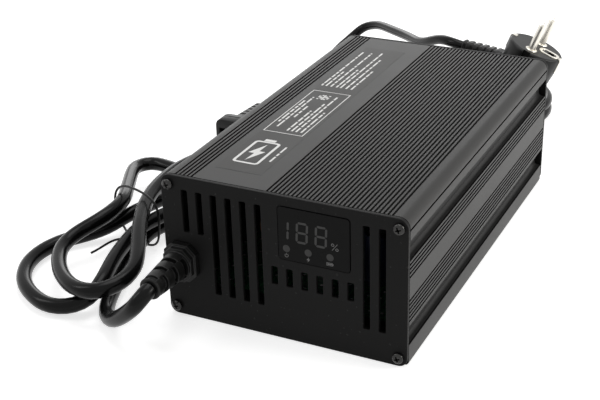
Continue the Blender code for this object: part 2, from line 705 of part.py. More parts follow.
con_w, con_h = CON_BODY[0] / 2, CON_BODY[2] / 2
connector = add("output_connector", loft_mesh("output_connector", [
    ring_at(CON_X, CON_Z, con_w - 0.9 * MM, con_h - 0.9 * MM, CON_FRONT, 2.6 * MM),
    ring_at(CON_X, CON_Z, con_w, con_h, CON_FRONT + 0.9 * MM, 3 * MM),
    ring_at(CON_X, CON_Z, con_w, con_h, CON_BACK - 2.4 * MM, 3 * MM),
    ring_at(CON_X, CON_Z, con_w - 2 * MM, con_h - 1.6 * MM, CON_BACK, 3 * MM),
    ring_at(CON_X, CON_Z, con_w - 4 * MM, con_h - 2.6 * MM, CON_BACK + 0.5 * MM, 2.6 * MM),
    ring_at(CON_X, CON_Z, OUTPUT_CORD / 2 + 1.4 * MM, OUTPUT_CORD / 2 + 1.4 * MM, CON_TIP, 2.6 * MM)]),
    MOULDED)
pockets = [box_mesh("pocket", (CON_POCKET, CON_POCKET_DEPTH * 2, CON_POCKET),
                    (CON_X + way * (CON_POCKET + CON_RIB) / 2, CON_FRONT, CON_Z)) for way in (-1, 1)]
pocket_cutter = cutter("connector_pockets", joined_mesh("connector_pockets", pockets), connector)
combine(connector, pocket_cutter, "DIFFERENCE")


# Mains inlet in the rear plate, and the connector pushed into it

def prism(name, loop, front, back):
    return loft_mesh(name, [[(x, front, z) for x, z in loop], [(x, back, z) for x, z in loop]])


flange_face = BACK + SEAT + INLET_FLANGE[2]
half_w, half_h = INLET_FLANGE[0] / 2, INLET_FLANGE[1] / 2
inlet_plate = prism("inlet_plate", round_box(INLET_X - half_w, INLET_X + half_w, INLET_Z - half_h,
                                             INLET_Z + half_h, 3 * MM), BACK + SEAT, flange_face)
inlet_tub = prism("inlet_tub", inlet_outline(INLET_BODY[0], INLET_BODY[1], 4.5 * MM),
                  flange_face - INLET_BODY[2], flange_face - 1 * MM)
inlet_mouth = prism("inlet_mouth", inlet_outline(INLET_CAVITY[0], INLET_CAVITY[1], 4 * MM),
                    flange_face - INLET_CAVITY[2], flange_face + 1 * MM)
inlet_bores = []
for x, z in inlet_screw_at.values():
    inlet_bores.append(prism("inlet_bore", circle(x, z, SCREW_SHANK + SEAT, 12),
                             BACK - 1 * MM, flange_face + 1 * MM))
INLET_PINS = ((0, 2.2 * MM), (-7 * MM, -2.2 * MM), (7 * MM, -2.2 * MM))
PIN_BLADE = (2 * MM, 4 * MM)
blades = []
for x, z in INLET_PINS:
    blades.append(box_mesh("blade", (PIN_BLADE[0], 12 * MM, PIN_BLADE[1]),
                           (INLET_X + x, flange_face - INLET_CAVITY[2] + 5 * MM, INLET_Z + z)))
inlet = add("mains_inlet", inlet_plate, MOULDED)
combine(inlet, cutter("inlet_tub", inlet_tub, inlet), "UNION")
inlet_cuts = joined_mesh("inlet_mouth", [inlet_mouth] + inlet_bores)
combine(inlet, cutter("inlet_mouth", inlet_cuts, inlet), "DIFFERENCE")
combine(inlet, cutter("inlet_blades", joined_mesh("inlet_blades", blades), inlet), "UNION")

nose_w, nose_h = INLET_CAVITY[0] - 2 * SEAT, INLET_CAVITY[1] - 2 * SEAT
nose = prism("nose", inlet_outline(nose_w, nose_h, 4 * MM),
             flange_face - INLET_CAVITY[2] + SEAT, flange_face + 1 * MM)
sockets = []
for x, z in INLET_PINS:
    sockets.append(box_mesh("socket", (PIN_BLADE[0] + 2 * SEAT, 14 * MM, PIN_BLADE[1] + 2 * SEAT),
                            (INLET_X + x, flange_face - INLET_CAVITY[2] + 5 * MM, INLET_Z + z)))
body_w, body_h, body_l = CONNECTOR_BODY
body_start = flange_face + SEAT
mains_connector = add("mains_connector", loft_mesh("mains_connector", [
    ring_at(INLET_X, INLET_Z, body_w / 2, body_h / 2, body_start, 5 * MM),
    ring_at(INLET_X, INLET_Z, body_w / 2, body_h / 2, body_start + body_l * 0.5, 5 * MM),
    ring_at(INLET_X, INLET_Z, body_w / 2 - 4 * MM, body_h / 2 - 3 * MM, body_start + body_l, 4 * MM),
    ring_at(INLET_X, INLET_Z, 6 * MM, 6 * MM, body_start + body_l + 2 * MM, 3 * MM),
    ring_at(INLET_X, INLET_Z, 4.6 * MM, 4.6 * MM, body_start + body_l + CONNECTOR_BOOT, 2.4 * MM)]), MOULDED)
combine(mains_connector, cutter("connector_nose", nose, mains_connector), "UNION")
socket_cutter = cutter("connector_sockets", joined_mesh("connector_sockets", sockets), mains_connector)
combine(mains_connector, socket_cutter, "DIFFERENCE")
boot_tip = body_start + body_l + CONNECTOR_BOOT + SEAT


# Mains cord: from the inlet down to the coil, the coil, and from the coil up to the plug

INLET_ROUTE = [
    (INLET_X / MM, boot_tip / MM, INLET_Z / MM), (INLET_X / MM, boot_tip / MM + 8, INLET_Z / MM),
    (-37, 173, 41.5), (-45, 183, 33), (-58, 188, 23), (-73, 187, 13.5), (-84, 178, 7), (-84, 166, 3.9),
    (-70, 161, 3.5), (-50, 160, 3.5), (-31, 158.5, 3.5), (-13, 157.7, 3.5)]
tube("mains_cord_inlet_run", INLET_ROUTE, MAINS_CORD, 15 * MM, CORD_RUBBER)

half_section = COIL_COLUMNS * MAINS_CORD / 2
coil_height = COIL_LAYERS * MAINS_CORD
ease = MAINS_CORD * 0.35
section = round_box(COIL_RADIUS - half_section, COIL_RADIUS + half_section, 0, coil_height, ease, 2)
coil = add("mains_cord_coil", turned_mesh("mains_cord_coil", section, 32, ring=True), CORD_RUBBER)
coil.location = (*COIL_CENTRE, 0)

boot_end_at = Vector((-PLUG_RADIUS - PLUG_BOOT, 0, PLUG_BOOT_AT - PLUG_BOOT_DROP))
boot_way = Vector((-PLUG_BOOT, 0, -PLUG_BOOT_DROP)).normalized()


def plug_point(local):
    """A place on the plug, in millimetres of the route."""
    return tuple((PLUG_FACE + PLUG_TILT @ local) / MM)


PLUG_ROUTE = [
    (-5, 247.8, 3.5), (-33, 248.6, 3.5), (-62, 246, 3.5), (-92, 239, 3.5), (-117, 235, 3.5), (-133, 240, 3.6),
    (-139, 253, 4.5), (-137, 265, 8), (-132.5, 273, 12.5), (-126.5, 279, 18.5), (-112, 273, 24.2),
    (-91.4, 253.3, 28.7), (-72, 233.8, 32.5), (-55.8, 215.1, 36.5), (-43.7, 203.9, 42.5), (-35, 198, 46.8),
    plug_point(boot_end_at + boot_way * 8.5 * MM), plug_point(boot_end_at + boot_way * 0.5 * MM)]
tube("mains_cord_plug_run", PLUG_ROUTE, MAINS_CORD, 15 * MM, CORD_RUBBER)


# Plug: a round face with a recessed rim, an earth hole, a side relief and two long pins

frame = bpy.data.objects.new("plug_frame", None)
bpy.context.collection.objects.link(frame)
frame.location = PLUG_FACE
frame.rotation_euler = PLUG_TILT.to_euler()
rim = PLUG_RADIUS
plug = add("mains_plug", turned_mesh("mains_plug", [
    (0, -PLUG_DEPTH), (rim * 0.56, -PLUG_DEPTH), (rim * 0.76, -PLUG_DEPTH * 0.86),
    (rim * 0.92, -PLUG_DEPTH * 0.5), (rim, -PLUG_DEPTH * 0.14), (rim, -1 * MM), (rim - 1 * MM, 0),
    (0, 0)], 28), MOULDED, frame)


def boot_ring(x, half_w, half_h, drop=0.0):
    """A section of the plug's boot, square to its sloping run where it has dropped."""
    lean = -drop / PLUG_BOOT
    ring = octagon(half_w * 2, half_h * 2, 0, min(half_w, half_h) * 0.55)
    return [(x + pz * lean, py, PLUG_BOOT_AT - drop + pz) for py, px, pz in ring]


side_boot = loft_mesh("plug_boot", [boot_ring(-rim * 0.5, 8 * MM, 6.8 * MM),
                                    boot_ring(-rim - 3 * MM, 6.6 * MM, 6 * MM),
                                    boot_ring(-rim - PLUG_BOOT, 4.6 * MM, 4.6 * MM, PLUG_BOOT_DROP)])
combine(plug, cutter("plug_boot", side_boot, plug), "UNION")
notches = [box_mesh("plug_notch", (5 * MM, 4 * MM, 20 * MM), (0, way * (rim + 0.4 * MM), -8 * MM))
           for way in (-1, 1)]
pin_seats = []
for way in (-1, 1):
    seat = turned_mesh("pin_seat", [(0, -8 * MM), (PIN_RADIUS + SEAT, -8 * MM),
                                    (PIN_RADIUS + SEAT, 1 * MM), (0, 1 * MM)], 12)
    seat.transform(Matrix.Translation((0, way * PIN_OFFSET, 0)))
    pin_seats.append(seat)
earth = turned_mesh("earth_hole", [(0, -16 * MM), (EARTH_HOLE, -16 * MM), (EARTH_HOLE, 1 * MM),
                                   (0, 1 * MM)], 12)
earth.transform(Matrix.Translation((EARTH_OFFSET, 0, 0)))
cut_in = joined_mesh("plug_cuts", notches + pin_seats + [earth])
combine(plug, cutter("plug_cuts", cut_in, plug), "DIFFERENCE")

pin = turned_mesh("plug_pin", [(0, -8 * MM + SEAT), (PIN_RADIUS, -8 * MM + SEAT),
                               (PIN_RADIUS, PIN_REACH - 1.4 * MM), (PIN_RADIUS * 0.6, PIN_REACH),
                               (0, PIN_REACH)], 14)
pin.materials.append(NICKEL)
for name, way in (("plug_pin_line", -1), ("plug_pin_neutral", 1)):
    made = bpy.data.objects.new(name, pin)
    bpy.context.collection.objects.link(made)
    made.parent = frame
    made.location = (0, way * PIN_OFFSET, 0)


# Fan: a square frame with a hub on struts, and a rotor that turns on the hub's pin

fan_back = BACK - PLATE - SEAT
fan_front = fan_back - FAN_DEPTH
half = FAN_SIZE / 2
fan_holes = [circle(x, z, SCREW_SHANK + SEAT, 10) for x, z in fan_screw_at.values()]
frame_loops = [round_box(FAN_X - half, FAN_X + half, FAN_Z - half, FAN_Z + half, 3.5 * FAN_UNIT),
               circle(FAN_X, FAN_Z, FAN_BORE, 36)] + fan_holes
ring_shape = slab("fan_ring", frame_loops, fan_front, fan_back, MOULDED)
bpy.context.view_layer.update()
settled_ring = ring_shape.evaluated_get(bpy.context.evaluated_depsgraph_get())
ring_mesh = bpy.data.meshes.new_from_object(settled_ring)
ring_mesh.transform(ring_shape.matrix_world)
bpy.data.objects.remove(ring_shape)
struts = []
for i in range(4):
    bar = box_mesh("strut", (FAN_BORE + 1 * MM, STRUT, STRUT), ((FAN_BORE + 1 * MM) / 2, 0, 0))
    bar.transform(Matrix.Translation((FAN_X, fan_front + STRUT / 2, FAN_Z))
                  @ Matrix.Rotation(math.radians(45 + 90 * i), 4, "Y"))
    struts.append(bar)
post = turned_mesh("fan_post", [(0, 0), (FAN_HUB, 0), (FAN_HUB, STRUT + 0.2 * MM), (FAN_PIN, STRUT + 0.2 * MM),
                                (FAN_PIN, FAN_DEPTH - 3 * MM), (0, FAN_DEPTH - 3 * MM)], 24)
post.transform(Matrix.Translation((FAN_X, fan_front, FAN_Z)) @ Matrix.Rotation(-math.pi / 2, 4, "X"))
fan_frame = add("fan_frame", ring_mesh, MOULDED)
for number, bar in enumerate(struts):
    combine(fan_frame, cutter("fan_strut_" + str(number), bar, fan_frame), "UNION")
combine(fan_frame, cutter("fan_post", post, fan_frame), "UNION")

rotor_start = STRUT + 0.2 * MM + SEAT
rotor_end = FAN_DEPTH - 1.2 * MM
hub = turned_mesh("fan_hub", [(0, FAN_DEPTH - 2.6 * MM), (FAN_PIN + SEAT, FAN_DEPTH - 2.6 * MM),
                              (FAN_PIN + SEAT, rotor_start), (FAN_HUB, rotor_start),
                              (FAN_HUB, rotor_end - 1 * MM), (FAN_HUB - 1 * MM, rotor_end),
                              (0, rotor_end)], 24)


def blade_mesh(turn):
    """A swept blade, pitched more steeply at its root than at its tip."""
    rows = []
    for share, sweep in ((0.0, 0), (0.35, 4), (0.7, 10), (1.0, 17)):
        radius = FAN_HUB - 1 * MM + share * (FAN_TIP - FAN_HUB + 1 * MM)
        pitch = math.radians(48 - 20 * share)
        chord = (9.6 + share * 5) * FAN_UNIT
        half_chord, half_thick = chord / 2, 0.55 * MM
        rows.append([])
        for along, across in ((-1, -1), (1, -1), (1, 1), (-1, 1)):
            u, v = along * half_chord, across * half_thick
            tangent = u * math.cos(pitch) - v * math.sin(pitch)
            height = u * math.sin(pitch) + v * math.cos(pitch)
            angle = turn + math.radians(sweep) + tangent / radius
            rows[-1].append((radius * math.cos(angle), radius * math.sin(angle),
                             (rotor_start + rotor_end) / 2 + height))
    return loft_mesh("fan_blade", rows)


blades = joined_mesh("fan_blades", [blade_mesh(2 * math.pi * i / FAN_BLADES) for i in range(FAN_BLADES)])
rotor = add("fan_rotor", hub, MOULDED)
rotor.location = (FAN_X, fan_front, FAN_Z)
rotor.rotation_euler = (-math.pi / 2, 0, 0)
combine(rotor, cutter("fan_blades", blades, rotor), "UNION")


# Circuit board on standoffs, with the power parts that fill such a charger

board_mid = BOARD_TOP - BOARD[2] / 2
for name, sx, sy in (("front_left", -1, -1), ("front_right", 1, -1), ("rear_left", -1, 1),
                     ("rear_right", 1, 1)):
    shape = turned_mesh("standoff", [(0, 0), (STANDOFF_RADIUS, 0), (STANDOFF_RADIUS, STANDOFF),
                                     (0, STANDOFF)], 6)
    post = add("standoff_" + name, shape, NICKEL)
    post.location = (sx * STANDOFF_X, BOARD_Y + sy * STANDOFF_Y, FLOOR + SEAT)
block("circuit_board", BOARD, (0, BOARD_Y, board_mid), BOARD_GREEN)

on_board = BOARD_TOP + SEAT


def on_part(x, y):
    """A place on the board, which keeps its share of the board's width and length."""
    return x * ACROSS, BOARD_Y + (y + 4) * ALONG


def standing_can(name, x, y, radius, height):
    radius = radius * PART_UNIT
    made = add(name, turned_mesh(name, [(0, 0), (radius, 0), (radius, height - 0.8 * MM),
                                        (radius - 0.8 * MM, height), (0, height)], 18), SLEEVE)
    made.location = (*on_part(x, y), on_board)


standing_can("mains_capacitor_1", -40, 36, 11, CAN_HEIGHT)
standing_can("mains_capacitor_2", -40, 10, 11, CAN_HEIGHT)
standing_can("output_capacitor_1", 27, -58, 6.3, CAN_HEIGHT * 2 / 3)
standing_can("output_capacitor_2", 12, -58, 6.3, CAN_HEIGHT * 2 / 3)


def sink_outline(x, way):
    """A comb: an upright web with fins on one side."""
    web, fin, reach, pitch = 3 * ACROSS, 1.4 * MM, 9 * ACROSS, 6 * MM
    low = on_board
    points = [(x, low), (x, low + SINK_HEIGHT)]
    z = low + SINK_HEIGHT
    while z - fin >= low:
        points += [(x + way * (web + reach), z), (x + way * (web + reach), z - fin), (x + way * web, z - fin)]
        z -= pitch
        if z - fin >= low:
            points.append((x + way * web, z))
    points.append((x + way * web, low))
    return points if way < 0 else points[::-1]


SINK_X = (-12, 39)
SINK_ENDS = (on_part(0, -40)[1], on_part(0, 52)[1])
for name, x, way in (("primary", SINK_X[0], -1), ("secondary", SINK_X[1], 1)):
    slab("heat_sink_" + name, [sink_outline(x * ACROSS, way)], *SINK_ENDS, SINK)
PACKAGE_SIZE = (4.6 * MM, 10 * PART_UNIT, 16 * RISE)
for number, (x, y, way) in enumerate(((SINK_X[0], -26, 1), (SINK_X[0], -8, 1),
                                      (SINK_X[1], -26, -1), (SINK_X[1], -8, -1)), 1):
    at_x, at_y = on_part(x, y)
    at_x += way * (SEAT + PACKAGE_SIZE[0] / 2)
    block("power_transistor_" + str(number), PACKAGE_SIZE, (at_x, at_y, on_board + 20 * RISE), PACKAGE)

core_size = (38 * PART_UNIT, 34 * PART_UNIT, 32 * RISE)
core_at = Vector((*on_part(12.5, 20), on_board + core_size[2] / 2))
window = (24 * PART_UNIT, 40 * PART_UNIT, 18 * RISE)
core = block("transformer_core", core_size, core_at, FERRITE)
combine(core, cutter("core_window", box_mesh("core_window", window), core), "DIFFERENCE")
winding_size = (window[0] - 2 * SEAT, window[1] - 1 * MM, window[2] - 2 * SEAT)
block("transformer_winding", winding_size, core_at, TAPE)
section = [((9 + 4 * math.cos(a)) * PART_UNIT, 5 * math.sin(a) * PART_UNIT)
           for a in (2 * math.pi * i / 8 for i in range(8))]
for name, x, y in (("mains_choke", -38, 62), ("output_choke", -39, -30)):
    choke = add(name, turned_mesh(name, section, 20, ring=True), COPPER)
    choke.location = (*on_part(x, y), on_board + 5 * PART_UNIT)
FUSE = (2.6 * MM, 20 * PART_UNIT)
fuse = add("fuse", turned_mesh("fuse", [(0, 0), (FUSE[0], 0), (FUSE[0], FUSE[1]), (0, FUSE[1])], 12),
           CERAMIC)
fuse.location = (*on_part(-10, 66), on_board + FUSE[0])
fuse.rotation_euler = (0, math.pi / 2, 0)
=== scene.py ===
# %% [markdown]
# # A lithium battery charger
# This lesson dresses the packed model of a battery charger: a ribbed black housing between two
# punched plates, a display window, a moulded cord relief, a fan, and both of its cords. The packed
# solids give every size, so that each piece can be drawn finer here and still fit.

# %% Load the packed frame
import math

import bmesh
import bpy
from mathutils import Matrix, Vector


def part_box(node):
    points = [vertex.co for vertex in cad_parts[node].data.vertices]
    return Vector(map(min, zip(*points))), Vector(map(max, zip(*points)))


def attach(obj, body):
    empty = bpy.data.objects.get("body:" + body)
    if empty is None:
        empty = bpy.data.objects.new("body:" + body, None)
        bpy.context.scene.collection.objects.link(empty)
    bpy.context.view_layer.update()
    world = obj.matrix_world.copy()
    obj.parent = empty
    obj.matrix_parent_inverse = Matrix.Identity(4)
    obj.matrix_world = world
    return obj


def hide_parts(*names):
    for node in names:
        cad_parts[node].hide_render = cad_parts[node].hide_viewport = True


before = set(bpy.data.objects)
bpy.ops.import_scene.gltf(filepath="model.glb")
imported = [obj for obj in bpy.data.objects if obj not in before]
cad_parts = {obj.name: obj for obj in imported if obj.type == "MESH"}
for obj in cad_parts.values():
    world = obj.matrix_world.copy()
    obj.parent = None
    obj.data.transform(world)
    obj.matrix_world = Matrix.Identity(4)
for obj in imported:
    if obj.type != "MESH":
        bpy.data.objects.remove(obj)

MM = 0.001


def note_size():
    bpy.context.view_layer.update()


note_size()

# %% [markdown]
# ## Sizes
# The housing is 125 mm wide, 75.4 mm high and 216 mm deep. Its front plate faces -Y. A size could
# be typed wherever it is needed, but one list keeps this file and the CAD model alike, so that each
# finer piece fits over its solid.

# %% Sizes of the charger
WIDTH = 125 * MM
HEIGHT = 75.4 * MM
DEPTH = 216 * MM
PLATE = 2.1 * MM
WALL = 2.2 * MM
TOP_RADIUS = 5 * MM
FOOT_RADIUS = 2 * MM
PLATE_FOOT_RADIUS = 4.5 * MM
SEAT = 0.3 * MM
FRONT = -DEPTH / 2
BACK = DEPTH / 2
INSIDE = DEPTH / 2 - PLATE - SEAT
GROOVE_PITCH = 2.115 * MM
GROOVE_WIDTH = 0.95 * MM
GROOVE_DEPTH = 0.7 * MM
CHANNEL_DEPTH = 3.7 * MM
CHANNEL_HEIGHT = 10 * MM
SCREW_X = WIDTH / 2 - 4.2 * MM
SCREW_LOW = 4.7 * MM
SCREW_HIGH = HEIGHT - 4.7 * MM
SCREW_HOLE = 1.8 * MM
RELIEF_X = -53 * MM
RELIEF_Z = 31 * MM
FAN_X = 25 * MM
FAN_Z = 38 * MM
FAN_SCREW = 25 * MM
INLET_X = -35 * MM
INLET_Z = 45 * MM
INLET_SCREW = 20 * MM
OUTPUT_CORD = 8 * MM
MAINS_CORD = 6.5 * MM
print("housing", round(WIDTH / MM), "x", round(DEPTH / MM), "x", HEIGHT / MM, "mm")

# %% [markdown]
# ## Camera
# The camera stands to the right of the front plate and looks down at it. It could be aimed by eye,
# but its turn, height and lens were worked out from the housing's edges in the photograph, so that
# the two pictures can be laid over each other.

# %% Camera
CAMERA_PLACE = (0.230724, -0.543564, 0.317414)
PICTURE_WIDTH = 600
FOCAL_PIXELS = 1226.17
SENSOR = 36
turn = math.radians(26.794)
lift = math.radians(26.378)
lean = math.radians(-1.746)
back = Vector((math.sin(turn) * math.cos(lift), -math.cos(turn) * math.cos(lift), math.sin(lift)))
level = Vector((math.cos(turn), math.sin(turn), 0))
above = back.cross(level)
right = level * math.cos(lean) + above * math.sin(lean)
up = above * math.cos(lean) - level * math.sin(lean)
camera = bpy.data.objects.new("camera", bpy.data.cameras.new("camera"))
bpy.context.scene.collection.objects.link(camera)
camera.matrix_world = (Matrix.Translation(CAMERA_PLACE)
                       @ Matrix((right, up, back)).transposed().to_4x4())
camera.data.sensor_width = SENSOR
camera.data.lens = FOCAL_PIXELS * SENSOR / PICTURE_WIDTH
camera.data.clip_start = 0.01
bpy.context.scene.camera = camera
print("lens", round(camera.data.lens, 1), "mm")

# %% [markdown]
# ## Cords
# A cord is rubber round copper, and lies where it was put down. It could be simulated, but its rest
# is known here, so each cord is a list of chosen points with a smooth curve through them. The CAD
# model's tubes follow the same points.

# %% Route helpers
RELAX_ROUNDS = 40


def smooth_route(points, spacing):
    """Even points on a Catmull-Rom curve through the given ones, relaxed a little."""
    points = [Vector(point) * MM for point in points]
    ends = [points[0] * 2 - points[1]] + points + [points[-1] * 2 - points[-2]]
    fine = []
    for a, b, c, d in zip(ends, ends[1:], ends[2:], ends[3:]):
        steps = max(2, round((c - b).length / MM))
        for i in range(steps):
            t = i / steps
            fine.append(((b * 2) + (c - a) * t + (a * 2 - b * 5 + c * 4 - d) * t ** 2
                         + (b * 3 - a - c * 3 + d) * t ** 3) / 2)
    fine.append(points[-1])
    for _ in range(RELAX_ROUNDS):
        middle = [(a + b * 2 + c) / 4 for a, b, c in zip(fine, fine[1:], fine[2:])]
        fine = [fine[0]] + middle + [fine[-1]]
    return evened(fine, spacing)


def evened(fine, spacing):
    """The same line with points at even distances."""
    lengths = [0.0]
    for a, b in zip(fine, fine[1:]):
        lengths.append(lengths[-1] + (b - a).length)
    count = max(2, round(lengths[-1] / spacing))
    route = []
    at = 0
    for i in range(count + 1):
        goal = lengths[-1] * i / count
        while at < len(lengths) - 2 and lengths[at + 1] < goal:
            at += 1
        share = (goal - lengths[at]) / (lengths[at + 1] - lengths[at])
        route.append(fine[at].lerp(fine[at + 1], min(1, share)))
    return route


def length_of(route):
    """How long the line through the points is."""
    return sum((b - a).length for a, b in zip(route, route[1:]))


def tube(name, route, diameter, roundness=5):
    """A round tube along the points, closed at both ends."""
    curve = bpy.data.curves.new(name, "CURVE")
    curve.dimensions = "3D"
    curve.bevel_depth = diameter / 2
    curve.bevel_resolution = roundness
    curve.use_fill_caps = True
    spline = curve.splines.new("POLY")
    spline.points.add(len(route) - 1)
    for point, place in zip(spline.points, route):
        point.co = (*place, 1)
    made = bpy.data.objects.new(name, curve)
    bpy.context.scene.collection.objects.link(made)
    return made


print("route helpers ready")

# %% [markdown]
# The output cord leaves the relief, lies in two loops on the floor and ends at its connector behind
# the housing. A thin wire tie holds the loops. Both could be drawn with a curve's handles, but plain
# points in millimetres can be checked one by one.

# %% Output cord and twist tie
OUTPUT_ROUTE = [
    (-53, -138.9, 31), (-53, -144.9, 31),
    (-54.9, -146.7, 27), (-63, -144.1, 19), (-70.5, -141.3, 12.5), (-78.8, -136.2, 7),
    (-86.4, -128.9, 4.6), (-91.8, -119.6, 4.4), (-96.5, -106.8, 4.4), (-102.8, -89.5, 4.4),
    (-108.1, -70.7, 5), (-109.6, -53.2, 6.8), (-106.3, -32.9, 5.2), (-95.2, -14.9, 4.4),
    (-82.1, 3.1, 4.4), (-77, 23, 4.4), (-83.9, 40, 4.4), (-100.8, 47, 4.4), (-114.7, 37, 4.4),
    (-120.6, 16.9, 4.8), (-123.3, -5.6, 6.5), (-125.7, -27.4, 9), (-128.5, -43.5, 10),
    (-134.5, -56.8, 7), (-143.1, -65.9, 5), (-150.7, -74.8, 4.4), (-154.6, -87.6, 4.4),
    (-153.6, -102, 4.4), (-146.4, -116.1, 4.4), (-134.9, -126.6, 4.4), (-118.9, -133.9, 4.4),
    (-107.4, -131.5, 4.6), (-99, -126, 7.8), (-97.4, -116.4, 12), (-102.9, -97.5, 13.6),
    (-106.7, -81.4, 14), (-108.9, -63.1, 14.7), (-106.2, -46.2, 14.4), (-98, -20, 13.8),
    (-96, -7, 13.8), (-104.5, 3, 14.4), (-119, 6.5, 14.8), (-134.5, 11, 14.4),
    (-148.5, 13.5, 13.8), (-154, 3, 14.4), (-140.6, -24.2, 18), (-127.5, -50.2, 21),
    (-128, -70.9, 20), (-135.3, -83.2, 16), (-134.9, -97.6, 14), (-121.5, -116.8, 14.5),
    (-103.7, -130.4, 16.2), (-89.1, -132.5, 18), (-81.8, -123.4, 19), (-81.7, -109.2, 20),
    (-88.9, -94, 21.5), (-100.7, -74, 23.2), (-112.4, -48.8, 23.6), (-118, -26.9, 23.4),
    (-119, -2.9, 23), (-112, 16, 23.2), (-98, 34, 19.6), (-88, 60, 9), (-86, 90, 4.6),
    (-88, 117, 4.4), (-94, 134, 5), (-105, 146, 7), (-118, 147, 9), (-127.5, 138, 9.8),
    (-130.5, 125.8, 9.8), (-130.5, 119.8, 9.8)]
TIE_ROUTE = [
    (-130.4, -78.4, 3), (-129.8, -70.1, 2), (-128, -62, 3.4), (-124, -55.9, 2.4), (-117.4, -54.9, 0.9),
    (-110.7, -55, 0.8), (-105.2, -56, 0.8), (-101.3, -56.6, 4), (-100.5, -56.6, 13),
    (-100.1, -55.8, 22.1), (-103.3, -54.7, 28.2), (-110, -52.5, 30.2), (-118.9, -49.3, 30.2),
    (-126.8, -45.7, 29.1), (-134.1, -43.7, 26.5), (-137.7, -42.8, 20), (-137.5, -42.8, 13),
    (-135.8, -43.2, 7), (-132.5, -44.5, 2.6), (-126.5, -49.2, 1.6), (-123.5, -53.7, 4.2)]
output_line = smooth_route(OUTPUT_ROUTE, 4 * MM)
output_cord = tube("output_cord_fine", output_line, OUTPUT_CORD)
tie_line = smooth_route(TIE_ROUTE, 2 * MM)
twist_tie = tube("twist_tie_fine", tie_line, 1.3 * MM, 3)
print("output cord", round(length_of(output_line), 3), "m, tie", round(length_of(tie_line), 3), "m")

# %% [markdown]
# The mains cord runs from its connector down to a coil behind the housing, and from the coil up to
# the plug. The plug leans, so the cord's last points are worked out from the plug's own tilt instead
# of being typed. They stay on its boot if the plug is moved.

# %% Mains cord
INLET_ROUTE = [
    (-35, 153.5, 45), (-35, 161.5, 45),
    (-37, 173, 41.5), (-45, 183, 33), (-58, 188, 23), (-73, 187, 13.5), (-84, 178, 7), (-84, 166, 3.9),
    (-70, 161, 3.5), (-50, 160, 3.5), (-31, 158.5, 3.5), (-13, 157.7, 3.5)]
PLUG_FACE = Vector((33.8 * MM, 187 * MM, 53.8 * MM))
PLUG_TILT = (Matrix.Rotation(math.radians(21), 3, "Y")
             @ Matrix.Rotation(math.radians(-5.2), 3, "X")
             @ Matrix.Rotation(math.radians(-6.5), 3, "Z"))
PLUG_RADIUS = 18 * MM
PLUG_BOOT = 26 * MM
PLUG_BOOT_AT = -19.5 * MM
PLUG_BOOT_DROP = 4.5 * MM
boot_end = Vector((-PLUG_RADIUS - PLUG_BOOT, 0, PLUG_BOOT_AT - PLUG_BOOT_DROP))
boot_way = Vector((-PLUG_BOOT, 0, -PLUG_BOOT_DROP)).normalized()


def plug_point(local):
    """A place on the plug, in millimetres of the route."""
    return tuple((PLUG_FACE + PLUG_TILT @ local) / MM)


PLUG_ROUTE = [
    (-5, 247.8, 3.5), (-33, 248.6, 3.5), (-62, 246, 3.5), (-92, 239, 3.5), (-117, 235, 3.5), (-133, 240, 3.6),
    (-139, 253, 4.5), (-137, 265, 8), (-132.5, 273, 12.5), (-126.5, 279, 18.5), (-112, 273, 24.2),
    (-91.4, 253.3, 28.7), (-72, 233.8, 32.5), (-55.8, 215.1, 36.5), (-43.7, 203.9, 42.5), (-35, 198, 46.8),
    plug_point(boot_end + boot_way * 8.5 * MM), plug_point(boot_end + boot_way * 0.5 * MM)]

print("mains cord routes", len(INLET_ROUTE), "and", len(PLUG_ROUTE), "points")

# %% [markdown]
# The coil could be a plain spiral, but a cord that is put away lies in layers. So it fills three
# columns and two layers, and each turn keeps its own place until the place before it is free. No
# turn passes through another.

# %% Coil of the mains cord
COIL_X = -1
COIL_Y = 202
near = 26.25
middle = 32.75
far = 39.25
LOW_LAYER = 3.3
HIGH_LAYER = 9.75
PLACES = [(far, HIGH_LAYER), (middle, HIGH_LAYER), (near, HIGH_LAYER),
          (near, LOW_LAYER), (middle, LOW_LAYER), (far, LOW_LAYER)]
MOVES = [227, 559, 891, 1223, 1555]
MOVE_SPAN = 28
COIL_START = -105
COIL_CLIMB = 34
COIL_END = 1864
COIL_STEP = 6
FIRST_OUT = 6.6
FIRST_LOW = 3.4
FIRST_RISE = 6.5


def eased(share):
    """A share from 0 to 1 that starts and ends slowly."""
    return share * share * (3 - 2 * share)


def coil_point(angle):
    """The cord's radius and height at an angle counted from the first turn on."""
    if angle < COIL_START + COIL_CLIMB:
        swing = math.pi / 2 * eased((angle - COIL_START) / COIL_CLIMB)
        return far + FIRST_OUT * math.cos(swing), FIRST_LOW + FIRST_RISE * math.sin(swing)
    place = PLACES[0]
    for number, start in enumerate(MOVES):
        if angle >= start:
            share = eased(min(1, (angle - start) / MOVE_SPAN))
            a, b = PLACES[number], PLACES[number + 1]
            place = (a[0] + (b[0] - a[0]) * share, a[1] + (b[1] - a[1]) * share)
    return place


coil_route = []
for angle in range(COIL_START, COIL_END, COIL_STEP):
    radius, height = coil_point(angle)
    coil_route.append((COIL_X + radius * math.cos(math.radians(angle)),
                       COIL_Y + radius * math.sin(math.radians(angle)), height))
mains_line = smooth_route(INLET_ROUTE[:-1] + coil_route + PLUG_ROUTE[1:], 3 * MM)
mains_cord = tube("mains_cord_fine", mains_line, MAINS_CORD)
print("mains cord", round(length_of(mains_line), 3), "m in", len(mains_line), "points")

# %% [markdown]
# ## Floor, light and backdrop
# The charger stands on a white floor under four soft lamps. A studio would use lamps with wide
# diffusers, and large area lamps do the same here. They are set at a plain level, at which a colour
# shows about as it is written, and the floor keeps the charger's shadow.

